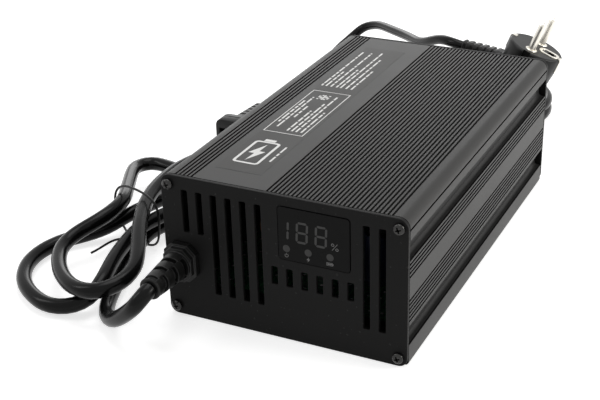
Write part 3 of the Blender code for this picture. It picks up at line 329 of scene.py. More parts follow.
# %% Stage and lamps
FLOOR_REACH = 4
FLOOR_DROP = 0.4 * MM
bpy.context.scene.view_settings.view_transform = "Standard"
floor_mesh = bpy.data.meshes.new("floor")
corners = ((-1, -1), (1, -1), (1, 1), (-1, 1))
floor_mesh.from_pydata([(x * FLOOR_REACH, y * FLOOR_REACH, 0) for x, y in corners], [], [(0, 1, 2, 3)])
floor = bpy.data.objects.new("floor", floor_mesh)
floor.location.z = -FLOOR_DROP
bpy.context.scene.collection.objects.link(floor)

world = bpy.data.worlds.new("studio")
bpy.context.scene.world = world
world.use_nodes = True


def lamp(name, place, aim, size, power, colour=(1, 1, 1)):
    """A soft rectangular lamp at a place, turned to its aim."""
    made = bpy.data.objects.new(name, bpy.data.lights.new(name, "AREA"))
    made.data.shape = "RECTANGLE"
    made.data.size, made.data.size_y = size
    made.data.energy = power
    made.data.color = colour
    made.location = place
    made.rotation_euler = (Vector(aim) - Vector(place)).to_track_quat("-Z", "Y").to_euler()
    bpy.context.scene.collection.objects.link(made)


lamp("lamp_above", (-0.1, 0.35, 1.5), (0, 0, 0), (1.0, 1.0), 10)
lamp("lamp_right", (1.5, 0.5, 0.75), (0.05, 0, 0.03), (0.9, 0.6), 17, (1, 0.975, 0.93))
lamp("lamp_left", (-1.1, -0.45, 0.95), (-0.08, -0.05, 0.03), (0.3, 0.8), 3.5)
lamp("lamp_rear", (-0.75, 1.45, 0.44), (-0.05, 0.05, 0.03), (1.0, 0.4), 3)

# %% [markdown]
# ## Finishes
# Each finish is a small network of shader nodes. It could be wired by hand in the shader editor. The
# class below lets it be written as plain arithmetic instead, so that the pattern of a surface reads
# like a formula. Every other kind of node comes from one method.

# %% Shader sockets as arithmetic


class Sock:
    """A node's output, which can be added, multiplied and compared with other ones."""

    def __init__(self, tree, socket):
        self.tree = tree
        self.socket = socket

    def maths(self, operation, *others):
        return Look.wire(self.tree, "ShaderNodeMath", {"operation": operation},
                         dict(enumerate((self,) + others)))

    def __add__(self, other):
        return self.maths("ADD", other)

    def __sub__(self, other):
        return self.maths("SUBTRACT", other)

    def __rsub__(self, other):
        return (self * -1) + other

    def __mul__(self, other):
        return self.maths("MULTIPLY", other)

    def above(self, other):
        return self.maths("GREATER_THAN", other)

    def below(self, other):
        return self.maths("LESS_THAN", other)

    __radd__ = __add__
    __rmul__ = __mul__


class Look:
    """A finish under construction: its nodes, its surface and its bump."""

    def __init__(self, name):
        self.made = bpy.data.materials.new(name)
        self.made.use_nodes = True
        self.tree = self.made.node_tree
        self.tree.nodes.clear()
        self.place = self.node("ShaderNodeTexCoord", {}, {}, "Object")

    @staticmethod
    def wire(tree, kind, settings, inputs, output=0):
        node = tree.nodes.new(kind)
        for key, value in settings.items():
            setattr(node, key, value)
        for key, value in inputs.items():
            if isinstance(value, Sock):
                tree.links.new(value.socket, node.inputs[key])
            else:
                node.inputs[key].default_value = value
        return Sock(tree, node.outputs[output])

    def node(self, kind, settings, inputs, output=0):
        return Look.wire(self.tree, kind, settings, inputs, output)

    def stretched(self, scale):
        """The place on the object, stretched by a scale for each direction."""
        return self.node("ShaderNodeVectorMath", {"operation": "MULTIPLY"}, {0: self.place, 1: scale})

    def axis(self, name):
        """How far along X, Y or Z the place is."""
        return self.node("ShaderNodeSeparateXYZ", {}, {0: self.place}, name)

    def noise(self, scale, detail=3.0, rough=0.55, where=None):
        return self.node("ShaderNodeTexNoise", {}, {"Vector": where or self.place, "Scale": scale,
                                                    "Detail": detail, "Roughness": rough}, "Fac")

    def mix(self, share, a, b):
        """Two colours mixed by a share."""
        return self.node("ShaderNodeMix", {"data_type": "RGBA"}, {0: share, 6: a, 7: b}, 2)

    def between(self, share, low, high):
        return share * (high - low) + low

    def surface(self, colour, roughness, bump=None, strength=0.2, distance=0.0002, **more):
        inputs = {"Base Color": colour, "Roughness": roughness}
        inputs.update({key.replace("_", " "): value for key, value in more.items()})
        if bump:
            inputs["Normal"] = self.node("ShaderNodeBump", {}, {"Height": bump, "Strength": strength,
                                                                "Distance": distance}, "Normal")
        self.finish(self.node("ShaderNodeBsdfPrincipled", {}, inputs))
        return self.made

    def finish(self, shader):
        out = self.tree.nodes.new("ShaderNodeOutputMaterial")
        self.tree.links.new(shader.socket, out.inputs["Surface"])


def grey(level, tint=(1, 1, 1)):
    """A grey of one level, with a slight tint where one is given."""
    return tuple(level * part for part in tint) + (1,)


print("operators", [name for name in vars(Sock) if name.startswith("__r")])

# %% [markdown]
# The housing is black anodised aluminium with a faint grain along its length. Its grooves and
# channels are painted darker, as painted shade where little light falls. Their faces could be picked
# by hand, but a formula of the place on the housing finds them without extra edges. The plates have a
# dull powder coat with a few specks of dust, and the screws are burnished steel.

# %% Black metal finishes
GROOVED_TOP = 57.4 * MM
GROOVED_SIDE = 70.3 * MM
UNDER_FACE = 0.07 * MM
IN_CHANNEL = 0.8 * MM


def anodised():
    """The housing's grained black, with painted shade in its grooves and channels."""
    look = Look("anodised_black")
    grain = look.noise(900.0, 2.0, where=look.stretched((1.0, 0.04, 1.0)))
    cloud = look.noise(26.0, 3.0)
    speck = look.noise(2600.0, 1.0)
    colour = look.mix(look.between(cloud, 0.2, 0.8), grey(0.036), grey(0.048, (1, 0.99, 0.97)))
    side_way = look.axis("X").maths("ABSOLUTE")
    up_way = look.axis("Z")
    # Painted shade: the faces inside the top grooves, the side grooves and the channels get a darker colour
    # where shade falls, not because the metal is darker there.
    in_top = side_way.below(GROOVED_TOP) * up_way.below(HEIGHT - UNDER_FACE)
    in_side = side_way.below(WIDTH / 2 - UNDER_FACE) * up_way.below(GROOVED_SIDE)
    shaded_channel_floor = side_way.below(WIDTH / 2 - IN_CHANNEL) * in_side
    side_groove = in_side - shaded_channel_floor
    recess = in_top.maths("MAXIMUM", side_groove)
    # Near black in the grooves and dark grey on the channel floors: both are painted shade.
    colour = look.mix(recess, colour, grey(0.004))
    colour = look.mix(shaded_channel_floor, colour, grey(0.022))
    rough = look.between(cloud, 0.38, 0.48) + recess * 0.40
    return look.surface(colour, rough, grain * 0.5 + speck * 0.5, 0.08, 0.0001,
                        Specular_IOR_Level=0.14, Metallic=side_groove * 0.9)


def plate_coat():
    """The dull coat of both plates."""
    look = Look("plate_black")
    cloud = look.noise(30.0, 4.0)
    speck = look.noise(2200.0, 2.0)
    dust = look.noise(620.0, 0.0).above(0.775)
    colour = look.mix(look.between(cloud, 0.2, 0.8), grey(0.008), grey(0.013, (1, 0.99, 0.98)))
    colour = look.mix(dust * 0.3, colour, grey(0.07))
    return look.surface(colour, look.between(cloud, 0.46, 0.58), speck, 0.12, 0.0001,
                        Specular_IOR_Level=0.09)


def screw_steel():
    """The burnished steel of the screws."""
    look = Look("screw_black")
    cloud = look.noise(500.0, 3.0)
    colour = look.mix(cloud, grey(0.02), grey(0.05, (1, 0.98, 0.95)))
    return look.surface(colour, look.between(cloud, 0.16, 0.32), cloud, 0.1, 0.0001, Metallic=0.8)


print("black metal finishes ready")

# %% [markdown]
# Rubber, moulded pieces and the smoked pane have a soft black skin: a cloud of two tones over a fine
# grain. Each could have a network of its own, but one function keeps them alike. Prints, bare metals
# and plain colours are made by functions too, and differ in their numbers only.

# %% Skins, prints and metals


def black_skin(name, cloud_scale, grain, tones, rough, bump, shine):
    """Two dark tones in a cloud, over a fine grain."""
    look = Look(name)
    cloud = look.noise(cloud_scale, 3.0)
    colour = look.mix(cloud, *tones)
    return look.surface(colour, look.between(cloud, *rough), look.noise(*grain), bump, 0.0001,
                        Specular_IOR_Level=shine)


def printed(name, level, rough, shine=0.5):
    """A print of one grey, slightly worn."""
    look = Look(name)
    wear = look.noise(400.0, 3.0)
    colour = look.mix(look.between(wear, 0.0, 0.6), grey(level), grey(level * 0.8, (1, 0.99, 0.95)))
    return look.surface(colour, look.between(wear, rough, rough + 0.1), wear, 0.05, 0.0001,
                        Specular_IOR_Level=shine)


def worn_look(name, colour, worn, scale=120.0):
    """A new finish, the pattern of its wear, and its colour."""
    look = Look(name)
    wear = look.noise(scale, 4.0)
    return look, wear, look.mix(wear, (*colour, 1), (*worn, 1))


def metal(name, colour, worn, rough):
    """A bare metal with scratches across it."""
    look, wear, tone = worn_look(name, colour, worn, 160.0)
    scratch = look.noise(900.0, 2.0, where=look.stretched((1.0, 1.0, 0.1)))
    return look.surface(tone, look.between(wear, rough, rough + 0.14), scratch, 0.08, 0.0001, Metallic=1.0)


def plain(name, colour, worn, rough, scale=120.0, strength=0.2, shine=0.5):
    """A plain colour with a little wear."""
    look, wear, tone = worn_look(name, colour, worn, scale)
    return look.surface(tone, look.between(wear, rough, rough + 0.12), wear, strength, 0.0002,
                        Specular_IOR_Level=shine)


print("skins, prints and metals ready")

# %% [markdown]
# Three inner pieces have a pattern: the capacitors' sleeves, the board and the winding's tape. The
# patterns could be pictures, but a formula of the place stays sharp at any distance and needs no
# unwrapping.

# %% Patterned finishes


def sleeve():
    """A shrunk sleeve with the pale stripe that marks one side of a capacitor."""
    look, wear, tone = worn_look("capacitor_sleeve", (0.02, 0.03, 0.08), (0.03, 0.04, 0.1))
    across = look.axis("X")
    stripe = look.axis("Y").maths("ABSOLUTE").below(across * 0.22) * look.axis("Z").below(36 * MM)
    tone = look.mix(stripe, tone, grey(0.55))
    return look.surface(tone, look.between(wear, 0.28, 0.38), wear, 0.1, 0.0001)


def board():
    """Green lacquer over copper tracks, with tinned pads on a grid."""
    look, wear, tone = worn_look("board_green", (0.02, 0.11, 0.05), (0.03, 0.15, 0.07))
    x, y = look.axis("X"), look.axis("Y")
    runs = look.noise(60.0, 0.0).above(0.52)
    along_x = (y * 320.0).maths("FRACT").below(0.3)
    along_y = (x * 320.0).maths("FRACT").below(0.3)
    track = along_x * runs + along_y * (1 - runs)
    tone = look.mix(track, tone, (0.05, 0.24, 0.10, 1))
    across = (x * 160.0).maths("FRACT") - 0.5
    along = (y * 160.0).maths("FRACT") - 0.5
    pad = (across * across + along * along).below(0.02)
    tone = look.mix(pad, tone, (0.70, 0.70, 0.68, 1))
    return look.surface(tone, look.between(wear, 0.28, 0.38), track, 0.15, 0.0001, Metallic=pad * 0.8)


def tape():
    """Yellow tape in laps round the winding."""
    look, wear, tone = worn_look("winding_tape", (0.62, 0.50, 0.06), (0.50, 0.40, 0.05))
    lap = (look.axis("Y") * 190.0).maths("FRACT")
    tone = look.mix(lap.below(0.08), tone, (0.30, 0.22, 0.02, 1))
    return look.surface(tone, look.between(wear, 0.32, 0.42), lap + wear * 0.2, 0.3, 0.0002)


print("patterned finishes ready")

# %% [markdown]
# All the finishes are made once and kept in one list by name. They could be made beside each piece,
# but a list lets a piece ask for its finish by the name of its slot, so that a finish can be swapped
# for every piece at once.

# %% All the finishes
LOOKS = {
    "anodised_black": anodised(),
    "plate_black": plate_coat(),
    "screw_black": screw_steel(),
    "cord_black": black_skin("cord_black", 45.0, (1500.0, 2.0), (grey(0.004), grey(0.007, (0.97, 1, 1.02))),
                             (0.17, 0.24), 0.05, 0.12),
    "moulded_black": black_skin("moulded_black", 60.0, (1300.0, 3.0),
                                (grey(0.006), grey(0.011, (1, 1, 0.97))), (0.32, 0.44), 0.15, 0.22),
    "display_pane": black_skin("display_pane", 80.0, (900.0, 3.0), (grey(0.006), grey(0.010)),
                               (0.24, 0.34), 0.03, 0.06),
    "lamp_lens": printed("lamp_lens", 0.085, 0.3, 0.1),
    "pin_nickel": metal("pin_nickel", (0.88, 0.85, 0.78), (0.74, 0.71, 0.64), 0.28),
    "board_green": board(),
    "ferrite": plain("ferrite", (0.035, 0.035, 0.04), (0.055, 0.055, 0.06), 0.6),
    "copper_winding": metal("copper_winding", (0.6, 0.27, 0.12), (0.45, 0.18, 0.08), 0.3),
    "winding_tape": tape(),
    "capacitor_sleeve": sleeve(),
    "heat_sink": metal("heat_sink", (0.6, 0.61, 0.62), (0.5, 0.5, 0.51), 0.35),
    "package_black": plain("package_black", (0.02, 0.02, 0.02), (0.03, 0.03, 0.03), 0.45),
    "fuse_ceramic": plain("fuse_ceramic", (0.75, 0.73, 0.66), (0.65, 0.62, 0.56), 0.3),
}
PRINT = printed("label_print", 0.80, 0.5)
SEGMENT = printed("display_segment", 0.095, 0.35, 0.1)
CAPTION = printed("display_caption", 0.30, 0.45, 0.1)
FILM = plain("label_film", (0.034, 0.034, 0.033), (0.042, 0.041, 0.040), 0.44, 40.0, 0.03, 0.2)
FILM_EDGE = plain("label_edge", (0.008, 0.008, 0.008), (0.012, 0.012, 0.012), 0.5)
print(len(LOOKS) + 5, "finishes")

# %% [markdown]
# The backdrop is white for the camera, in mirrors and through glass, so that metal shows it too.
# Every other ray meets a greyer floor and sky. More light on the backdrop could make it white as
# well, but that light would also fall on the charger and wash out its blacks.

# %% Floor and backdrop
FLOOR_TONE = 0.75
FLOOR_GLOW = 0.72
SKY_TONE = 0.20


def seen_directly(tree):
    """1 for rays from the camera, from a mirror or through glass, and 0 for the rest."""
    rays = [Look.wire(tree, "ShaderNodeLightPath", {}, {}, kind)
            for kind in ("Is Camera Ray", "Is Glossy Ray", "Is Transmission Ray")]
    return rays[0].maths("MAXIMUM", rays[1]).maths("MAXIMUM", rays[2])


floor_look = Look("studio_floor")
seen = seen_directly(floor_look.tree)
matt = floor_look.node("ShaderNodeBsdfDiffuse", {}, {"Color": grey(FLOOR_TONE)})
glow = floor_look.node("ShaderNodeEmission", {}, {"Color": grey(FLOOR_GLOW), "Strength": 1.0})
lifted = floor_look.node("ShaderNodeAddShader", {}, {0: matt, 1: glow})
floor_look.finish(floor_look.node("ShaderNodeMixShader", {}, {0: seen, 1: matt, 2: lifted}))
floor_mesh.materials.append(floor_look.made)

sky_tree = world.node_tree
sky_tree.nodes.clear()
sky = Look.wire(sky_tree, "ShaderNodeMix", {"data_type": "RGBA"},
                {0: seen_directly(sky_tree), 6: grey(SKY_TONE), 7: grey(1.0)}, 2)
light = Look.wire(sky_tree, "ShaderNodeBackground", {}, {"Color": sky, "Strength": 1.0})
world_out = sky_tree.nodes.new("ShaderNodeOutputWorld")
sky_tree.links.new(light.socket, world_out.inputs["Surface"])
print("backdrop ready")

# %% [markdown]
# ## Shapes
# The housing is extruded, the plates are punched, the fan's cup is turned and the connectors are
# moulded. Each could be pushed into shape by hand, but these helpers work as the makers do. First
# come the outlines: arcs, circles and boxes, as plain lists of points.

# %% Outlines


def arc(x, z, radius, start, end, steps):
    """Points on part of a circle, between two angles in degrees."""
    angles = [math.radians(start + (end - start) * i / steps) for i in range(steps + 1)]
    return [(x + radius * math.cos(a), z + radius * math.sin(a)) for a in angles]


def circle(x, z, radius, steps=32):
    """Points all the way round."""
    return arc(x, z, radius, 0, 360, steps)[:-1]


def round_box(x0, x1, z0, z1, radius, steps=6):
    """A rectangle with rounded corners."""
    return (arc(x1 - radius, z0 + radius, radius, -90, 0, steps)
            + arc(x1 - radius, z1 - radius, radius, 0, 90, steps)
            + arc(x0 + radius, z1 - radius, radius, 90, 180, steps)
            + arc(x0 + radius, z0 + radius, radius, 180, 270, steps))


def box_loop(x0, x1, z0, z1):
    """The four corners of a rectangle."""
    return [(x0, z0), (x1, z0), (x1, z1), (x0, z1)]


def in_mm(loops):
    """Outlines written in millimetres, in metres."""
    return [[(x * MM, z * MM) for x, z in loop] for loop in loops]


print("a round box has", len(round_box(0, 1, 0, 1, 0.1)), "points")

# %% [markdown]
# The solids come next. An outline is extruded with a small rounded edge, a profile is turned, and
# sections are joined one after the other. A modelled edge costs a few faces, but it catches the
# light at the rim as no flat shading can. Angles over 35 degrees stay sharp.

# %% Solids
ON_AXIS = 1e-7


def link(name, mesh, look=None):
    """Puts a mesh into the scene, with its own finish where it has one."""
    made = bpy.data.objects.new(name, mesh)
    bpy.context.scene.collection.objects.link(made)
    if look:
        mesh.materials.append(look)
    return made


def soften(mesh, angle=35):
    """Smooth shading, except at sharper angles."""
    mesh.shade_smooth()
    mesh.set_sharp_from_angle(angle=math.radians(angle))
    return mesh


def mesh_of(name, vertices, faces, angle=35):
    """A mesh of points and faces that all look outwards."""
    made = bpy.data.meshes.new(name)
    made.from_pydata(vertices, [], faces)
    shape = bmesh.new()
    shape.from_mesh(made)
    bmesh.ops.recalc_face_normals(shape, faces=shape.faces)
    shape.to_mesh(made)
    shape.free()
    return soften(made, angle)


def slab_mesh(name, loops, front, back, edge=0.0, steps=2):
    """Outlines in X and Z extruded along Y with a rounded edge. The first loop is the rim."""
    outline = bpy.data.curves.new(name, "CURVE")
    outline.dimensions = "2D"
    outline.fill_mode = "BOTH"
    outline.extrude = (back - front) / 2 - edge
    outline.bevel_depth = edge
    outline.bevel_resolution = steps
    outline.offset = -edge
    for loop in loops:
        spline = outline.splines.new("POLY")
        spline.points.add(len(loop) - 1)
        for point, (x, z) in zip(spline.points, loop):
            point.co = (x, z, 0, 1)
        spline.use_cyclic_u = True
    helper = bpy.data.objects.new(name, outline)
    bpy.context.scene.collection.objects.link(helper)
    bpy.context.view_layer.update()
    mesh = bpy.data.meshes.new_from_object(helper.evaluated_get(bpy.context.evaluated_depsgraph_get()))
    bpy.data.objects.remove(helper)
    mesh.transform(Matrix.Translation((0, (front + back) / 2, 0)) @ Matrix.Rotation(math.pi / 2, 4, "X"))
    return soften(mesh)


def turned_mesh(name, profile, steps=48, ring=False, angle=35):
    """A profile of radii and heights, turned about Z. A ring's profile closes on itself."""
    vertices = []
    rows = []
    for radius, height in profile:
        if radius < ON_AXIS:
            rows.append([len(vertices)] * steps)
            vertices.append((0, 0, height))
            continue
        rows.append(list(range(len(vertices), len(vertices) + steps)))
        vertices += [(x, y, height) for x, y in circle(0, 0, radius, steps)]
    if ring:
        rows.append(rows[0])
    faces = []
    for low, high in zip(rows, rows[1:]):
        for i in range(steps):
            j = (i + 1) % steps
            faces.append(list(dict.fromkeys([low[i], low[j], high[j], high[i]])))
    return mesh_of(name, vertices, faces, angle)


def turned_mm(name, profile, steps=48, ring=False):
    """The same, from a profile in millimetres."""
    return turned_mesh(name, [(r * MM, z * MM) for r, z in profile], steps, ring)


def loft_mesh(name, sections, angle=35):
    """Joins sections with equally many points, and closes both ends."""
    count = len(sections[0])
    vertices = [point for section in sections for point in section]
    faces = [list(range(count))[::-1], list(range(len(vertices) - count, len(vertices)))]
    for row in range(len(sections) - 1):
        for i in range(count):
            j = (i + 1) % count
            a, b = row * count, (row + 1) * count
            faces.append([a + i, a + j, b + j, b + i])
    return mesh_of(name, vertices, faces, angle)


def box_mesh(name, size, centre=(0, 0, 0)):
    """A plain box."""
    shape = bmesh.new()
    bmesh.ops.create_cube(shape, size=1)
    bmesh.ops.scale(shape, vec=size, verts=shape.verts)
    bmesh.ops.translate(shape, vec=centre, verts=shape.verts)
    made = bpy.data.meshes.new(name)
    shape.to_mesh(made)
    shape.free()
    return made

print("solid helpers ready")

# %% [markdown]
# A last group of helpers cuts and joins solids, melts moulded pieces together on a fine grid, and
# dresses each piece. Cutting is exact, as a tool would do it. Melting rounds every seam, as in a
# mould, where a plain union would leave a sharp crease.

# %% Joining and dressing


def settled(piece):
    """Carries out all the modifiers of a piece."""
    bpy.context.view_layer.update()
    mesh = bpy.data.meshes.new_from_object(piece.evaluated_get(bpy.context.evaluated_depsgraph_get()))
    piece.modifiers.clear()
    piece.data = mesh


def cut(piece, meshes, operation="DIFFERENCE"):
    """Booleans each mesh with the piece, and carries the result out."""
    bpy.context.view_layer.update()
    for mesh in meshes:
        helper = link("helper", mesh)
        helper.matrix_world = piece.matrix_world
        step = piece.modifiers.new("cut", "BOOLEAN")
        step.operation = operation
        step.solver = "EXACT"
        step.object = helper
        settled(piece)
        bpy.data.objects.remove(helper)
    return piece


def joined(name, solids):
    """All the meshes as one."""
    shape = bmesh.new()
    for solid in solids:
        shape.from_mesh(solid)
    mesh = bpy.data.meshes.new(name)
    shape.to_mesh(mesh)
    shape.free()
    return mesh


def melted(name, solids, size, rounds=2):
    """Joins closed shapes on a fine grid, so that the moulded piece comes out softly rounded."""
    piece = link(name, joined(name, solids))
    grid = piece.modifiers.new("grid", "REMESH")
    grid.mode = "VOXEL"
    grid.voxel_size = size
    ease = piece.modifiers.new("ease", "SMOOTH")
    ease.iterations = rounds
    ease.factor = 0.5
    settled(piece)
    piece.data.shade_smooth()
    return piece


def dress(piece, slot, *nodes, body="charger"):
    """Gives the piece its finish, hides the CAD nodes it stands for, and lets it ride."""
    if not piece.data.materials:
        piece.data.materials.append(LOOKS[slot])
    if nodes:
        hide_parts(*nodes)
    slot in LOOKS
    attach(piece, body)
    return piece


print("joining and dressing ready")

# %% [markdown]
# ## Housing
# The housing is one length of aluminium profile: fine grooves on its top and sides, two channels a
# side, and a screw port in each corner. The grooves could be cut into a box, but the real one comes
# out of a die, so its section is drawn once and extruded. Every groove has small chamfered lips,
# which catch the light as fine lines.

# %% Section of the housing
LIP = 0.12 * MM
CHANNEL_BEND = 2 * MM
LOW_CHANNEL = 10.9 * MM
HIGH_CHANNEL = 54.3 * MM
SIDE_GROOVES = ((6, 23.5 * MM), (4, 46.1 * MM))
LAST_SIDE_GROOVE = 69.5 * MM
TOP_GROOVES = ((5, -55.2 * MM), (30, -7.2 * MM))


def mirrored(points, sign):
    """The outline on the right for 1, or on the left for -1."""
    return [(sign * x, z) for x, z in points]


def groove(x, z, sign):
    """One groove in a face at x, with its lips."""
    half = GROOVE_WIDTH / 2
    deep = x - GROOVE_DEPTH
    inner = half * 0.8
    return mirrored([(x, z - half - LIP), (x - LIP, z - half), (deep, z - inner), (deep, z + inner),
                     (x - LIP, z + half), (x, z + half + LIP)], sign)


def channel(x, low, sign):
    """One side channel, with a rounded lower corner."""
    deep = x - CHANNEL_DEPTH
    high = low + CHANNEL_HEIGHT
    points = [(x, low - 2 * LIP), (x - 2 * LIP, low)]
    points += arc(deep + CHANNEL_BEND, low + CHANNEL_BEND, CHANNEL_BEND, 270, 180, 8)
    points += [(deep, high), (x - 2 * LIP, high), (x, high + 2 * LIP)]
    return mirrored(points, sign)


def side(sign):
    """One side, from its foot to the flat top."""
    x = WIDTH / 2
    points = mirrored(arc(x - FOOT_RADIUS, FOOT_RADIUS, FOOT_RADIUS, -90, 0, 6), sign)
    points += channel(x, LOW_CHANNEL, sign)
    for count, start in SIDE_GROOVES:
        for i in range(count):
            points += groove(x, start + i * GROOVE_PITCH, sign)
    points += channel(x, HIGH_CHANNEL, sign)
    points += groove(x, LAST_SIDE_GROOVE, sign)
    bend = arc(x - TOP_RADIUS, HEIGHT - TOP_RADIUS, TOP_RADIUS, 0, 90, 14)
    return points + mirrored(bend[1:], sign)


def top():
    """The grooved top, from right to left."""
    rows = [start + i * GROOVE_PITCH for count, start in TOP_GROOVES for i in range(count)]
    points = []
    for x in reversed(rows):
        points += [(px, pz) for pz, px in groove(HEIGHT, x, 1)][::-1]
    return points


outline = side(1) + top() + side(-1)[::-1]
print("section", len(outline), "points")

# %% [markdown]
# The hollow inside keeps one wall thickness behind the channels, and leaves a solid port round each
# screw hole. It could be left out, since the plates hide it, but the slots in the front plate look
# straight into it.

# %% Housing extrusion
PORT = 3.7 * MM
RAIL_LOW = 23.1 * MM
RAIL_HIGH = 52.1 * MM


def bore():
    """The hollow, round the channels and the screw ports."""
    wall = WIDTH / 2 - WALL
    inner = WIDTH / 2 - CHANNEL_DEPTH - WALL
    right_side = [(SCREW_X - PORT, WALL)] + arc(SCREW_X, SCREW_LOW, PORT, 180, 95, 8)[:-1]
    right_side += [(inner, SCREW_LOW + PORT), (inner, RAIL_LOW), (wall, RAIL_LOW), (wall, RAIL_HIGH)]
    right_side += [(inner, RAIL_HIGH), (inner, SCREW_HIGH - PORT)]
    right_side += arc(SCREW_X, SCREW_HIGH, PORT, 265, 180, 8)[1:] + [(SCREW_X - PORT, HEIGHT - WALL)]
    return right_side + [(-x, z) for x, z in reversed(right_side)]


screw_places = {"low_left": (-SCREW_X, SCREW_LOW), "low_right": (SCREW_X, SCREW_LOW),
                "high_left": (-SCREW_X, SCREW_HIGH), "high_right": (SCREW_X, SCREW_HIGH)}
screw_holes = [circle(x, z, SCREW_HOLE, 16) for x, z in screw_places.values()]
housing = link("housing_fine", slab_mesh("housing_fine", [outline, bore()] + screw_holes, -INSIDE, INSIDE))
dress(housing, "anodised_black", "housing_extrusion")
print("housing faces", len(housing.data.polygons))

# %% [markdown]
# ## Plates and screws
# Both plates are sheet, punched and then coated. Their holes could be cut with booleans, but an
# outline with holes in it is just what a punch makes, and it comes out cleaner.

# %% Front plate
SLOT_COLUMNS = 14
FIRST_SLOT = -50
SLOT_PITCH = 7.72
HALF_SLOT = 1.65 * MM


def plate_outline():
    """The rim of a plate."""
    x = WIDTH / 2
    foot = PLATE_FOOT_RADIUS
    return (arc(x - foot, foot, foot, -90, 0, 10)
            + arc(x - TOP_RADIUS, HEIGHT - TOP_RADIUS, TOP_RADIUS, 0, 90, 12)
            + arc(-x + TOP_RADIUS, HEIGHT - TOP_RADIUS, TOP_RADIUS, 90, 180, 12)
            + arc(-x + foot, foot, foot, 180, 270, 10))


slots = []
for column in range(SLOT_COLUMNS):
    x = (FIRST_SLOT + column * SLOT_PITCH) * MM
    low, high = 15.8 * MM, 68.7 * MM
    if column < 2:
        low = 46.5 * MM
    if 6 <= column < 12:
        low, high = 28.9 * MM, 38.3 * MM
    slots.append(round_box(x - HALF_SLOT, x + HALF_SLOT, low, high, 0.6 * MM, 4))
window_hole = round_box(-1.1 * MM, 35.1 * MM, 43.2 * MM, 70.6 * MM, 1.8 * MM, 6)
relief_hole = circle(RELIEF_X, RELIEF_Z, 6.1 * MM)
front_plate = link("front_plate_fine", slab_mesh(
    "front_plate_fine", [plate_outline(), window_hole, relief_hole] + slots + screw_holes,
    FRONT, FRONT + PLATE, 0.3 * MM, 3))
dress(front_plate, "plate_black", "front_plate")
print(len(slots), "slot columns")

# %% [markdown]
# The rear plate has a grille for the fan, in five rings of slots with bars between them. A wire guard
# could do the same, but punching it in the plate is cheaper. The angle that is spared for a bar is
# wider on the inner rings, so that all the bars are equally wide.

# %% Rear plate
RING_WIDTH = 2.6
HALF_BAR = 1.2
grille = []
for ring, radius in enumerate((9, 13.6, 18.2, 22.8, 27.4)):
    inner = radius - RING_WIDTH
    spare = math.degrees(HALF_BAR / (inner + RING_WIDTH / 2))
    steps = 10 + 3 * ring
    for quarter in range(4):
        start, end = quarter * 90 + spare, quarter * 90 + 90 - spare
        grille.append(arc(FAN_X, FAN_Z, radius * MM, start, end, steps)
                      + arc(FAN_X, FAN_Z, inner * MM, end, start, steps))
fan_screw_at = {high + "_" + way: (FAN_X + sx * FAN_SCREW, FAN_Z + sz * FAN_SCREW)
                for high, sz in (("low", -1), ("high", 1)) for way, sx in (("left", -1), ("right", 1))}
inlet_screw_at = {"left": (INLET_X - INLET_SCREW, INLET_Z), "right": (INLET_X + INLET_SCREW, INLET_Z)}


def inlet_outline(width, height, corner):
    """The inlet's shape: a box with its two upper corners cut off."""
    x0, x1 = INLET_X - width / 2, INLET_X + width / 2
    z0, z1 = INLET_Z - height / 2, INLET_Z + height / 2
    return [(x0, z0), (x1, z0), (x1, z1 - corner), (x1 - corner, z1), (x0 + corner, z1), (x0, z1 - corner)]


small_holes = [circle(x, z, SCREW_HOLE, 16)
               for x, z in list(fan_screw_at.values()) + list(inlet_screw_at.values())]
rear_loops = [plate_outline(), inlet_outline(28 * MM, 20.6 * MM, 4.5 * MM)]
rear_loops += grille + small_holes + screw_holes
rear_plate = link("rear_plate_fine",
                  slab_mesh("rear_plate_fine", rear_loops, BACK - PLATE, BACK, 0.2 * MM, 2))
dress(rear_plate, "plate_black", "rear_plate")
print(len(grille), "grille slots")

# %% [markdown]
# The screws have a pan head with a tapered cross recess. Their thread could be cut too, but it never
# shows, so the shank is plain. One mesh serves all the screws, because a shared mesh costs nothing.

# %% Screws
HEAD_RADIUS = 2.75 * MM
HEAD_RISE = 1.9 * MM
HEAD_RIM = 0.55 * MM
INLET_FLANGE = 2.6 * MM


def screw_head(name, length):
    """A pan head with a rounded crown and a tapered cross recess, on a plain shank."""
    crown = [(HEAD_RADIUS, HEAD_RIM)]
    crown += [(HEAD_RADIUS * math.cos(a) ** 0.7, HEAD_RIM + (HEAD_RISE - HEAD_RIM) * math.sin(a))
              for a in (math.pi / 2 * i / 8 for i in range(1, 8))]
    profile = [(0, -length), (1.5 * MM, -length), (1.5 * MM, 0), (HEAD_RADIUS - 0.15 * MM, 0),
               (HEAD_RADIUS, 0.15 * MM)]
    piece = link(name, turned_mesh(name, profile + crown + [(0, HEAD_RISE)], 40))
    arms = []
    for quarter in (0, 90):
        wedge = loft_mesh("arm", [[(x * MM, y * MM, z * MM) for x, y in box_loop(-s, s, -w, w)]
                                  for s, w, z in ((0.55, 0.2, 0.5), (1.75, 0.42, 2.1))])
        wedge.transform(Matrix.Rotation(math.radians(quarter + 20), 4, "Z"))
        arms.append(wedge)
    cut(piece, arms)
    mesh = soften(piece.data, 30)
    bpy.data.objects.remove(piece)
    mesh.materials.append(LOOKS["screw_black"])
    return mesh


def drive(node, mesh, x, z, y, towards):
    """Sets a screw in its place, with its head towards the front for -1 or the rear for 1."""
    made = link(node + "_fine", mesh)
    made.location = (x, y + towards * SEAT, z)
    made.rotation_euler = (-towards * math.pi / 2, 0, 0)
    return dress(made, "screw_black", node)


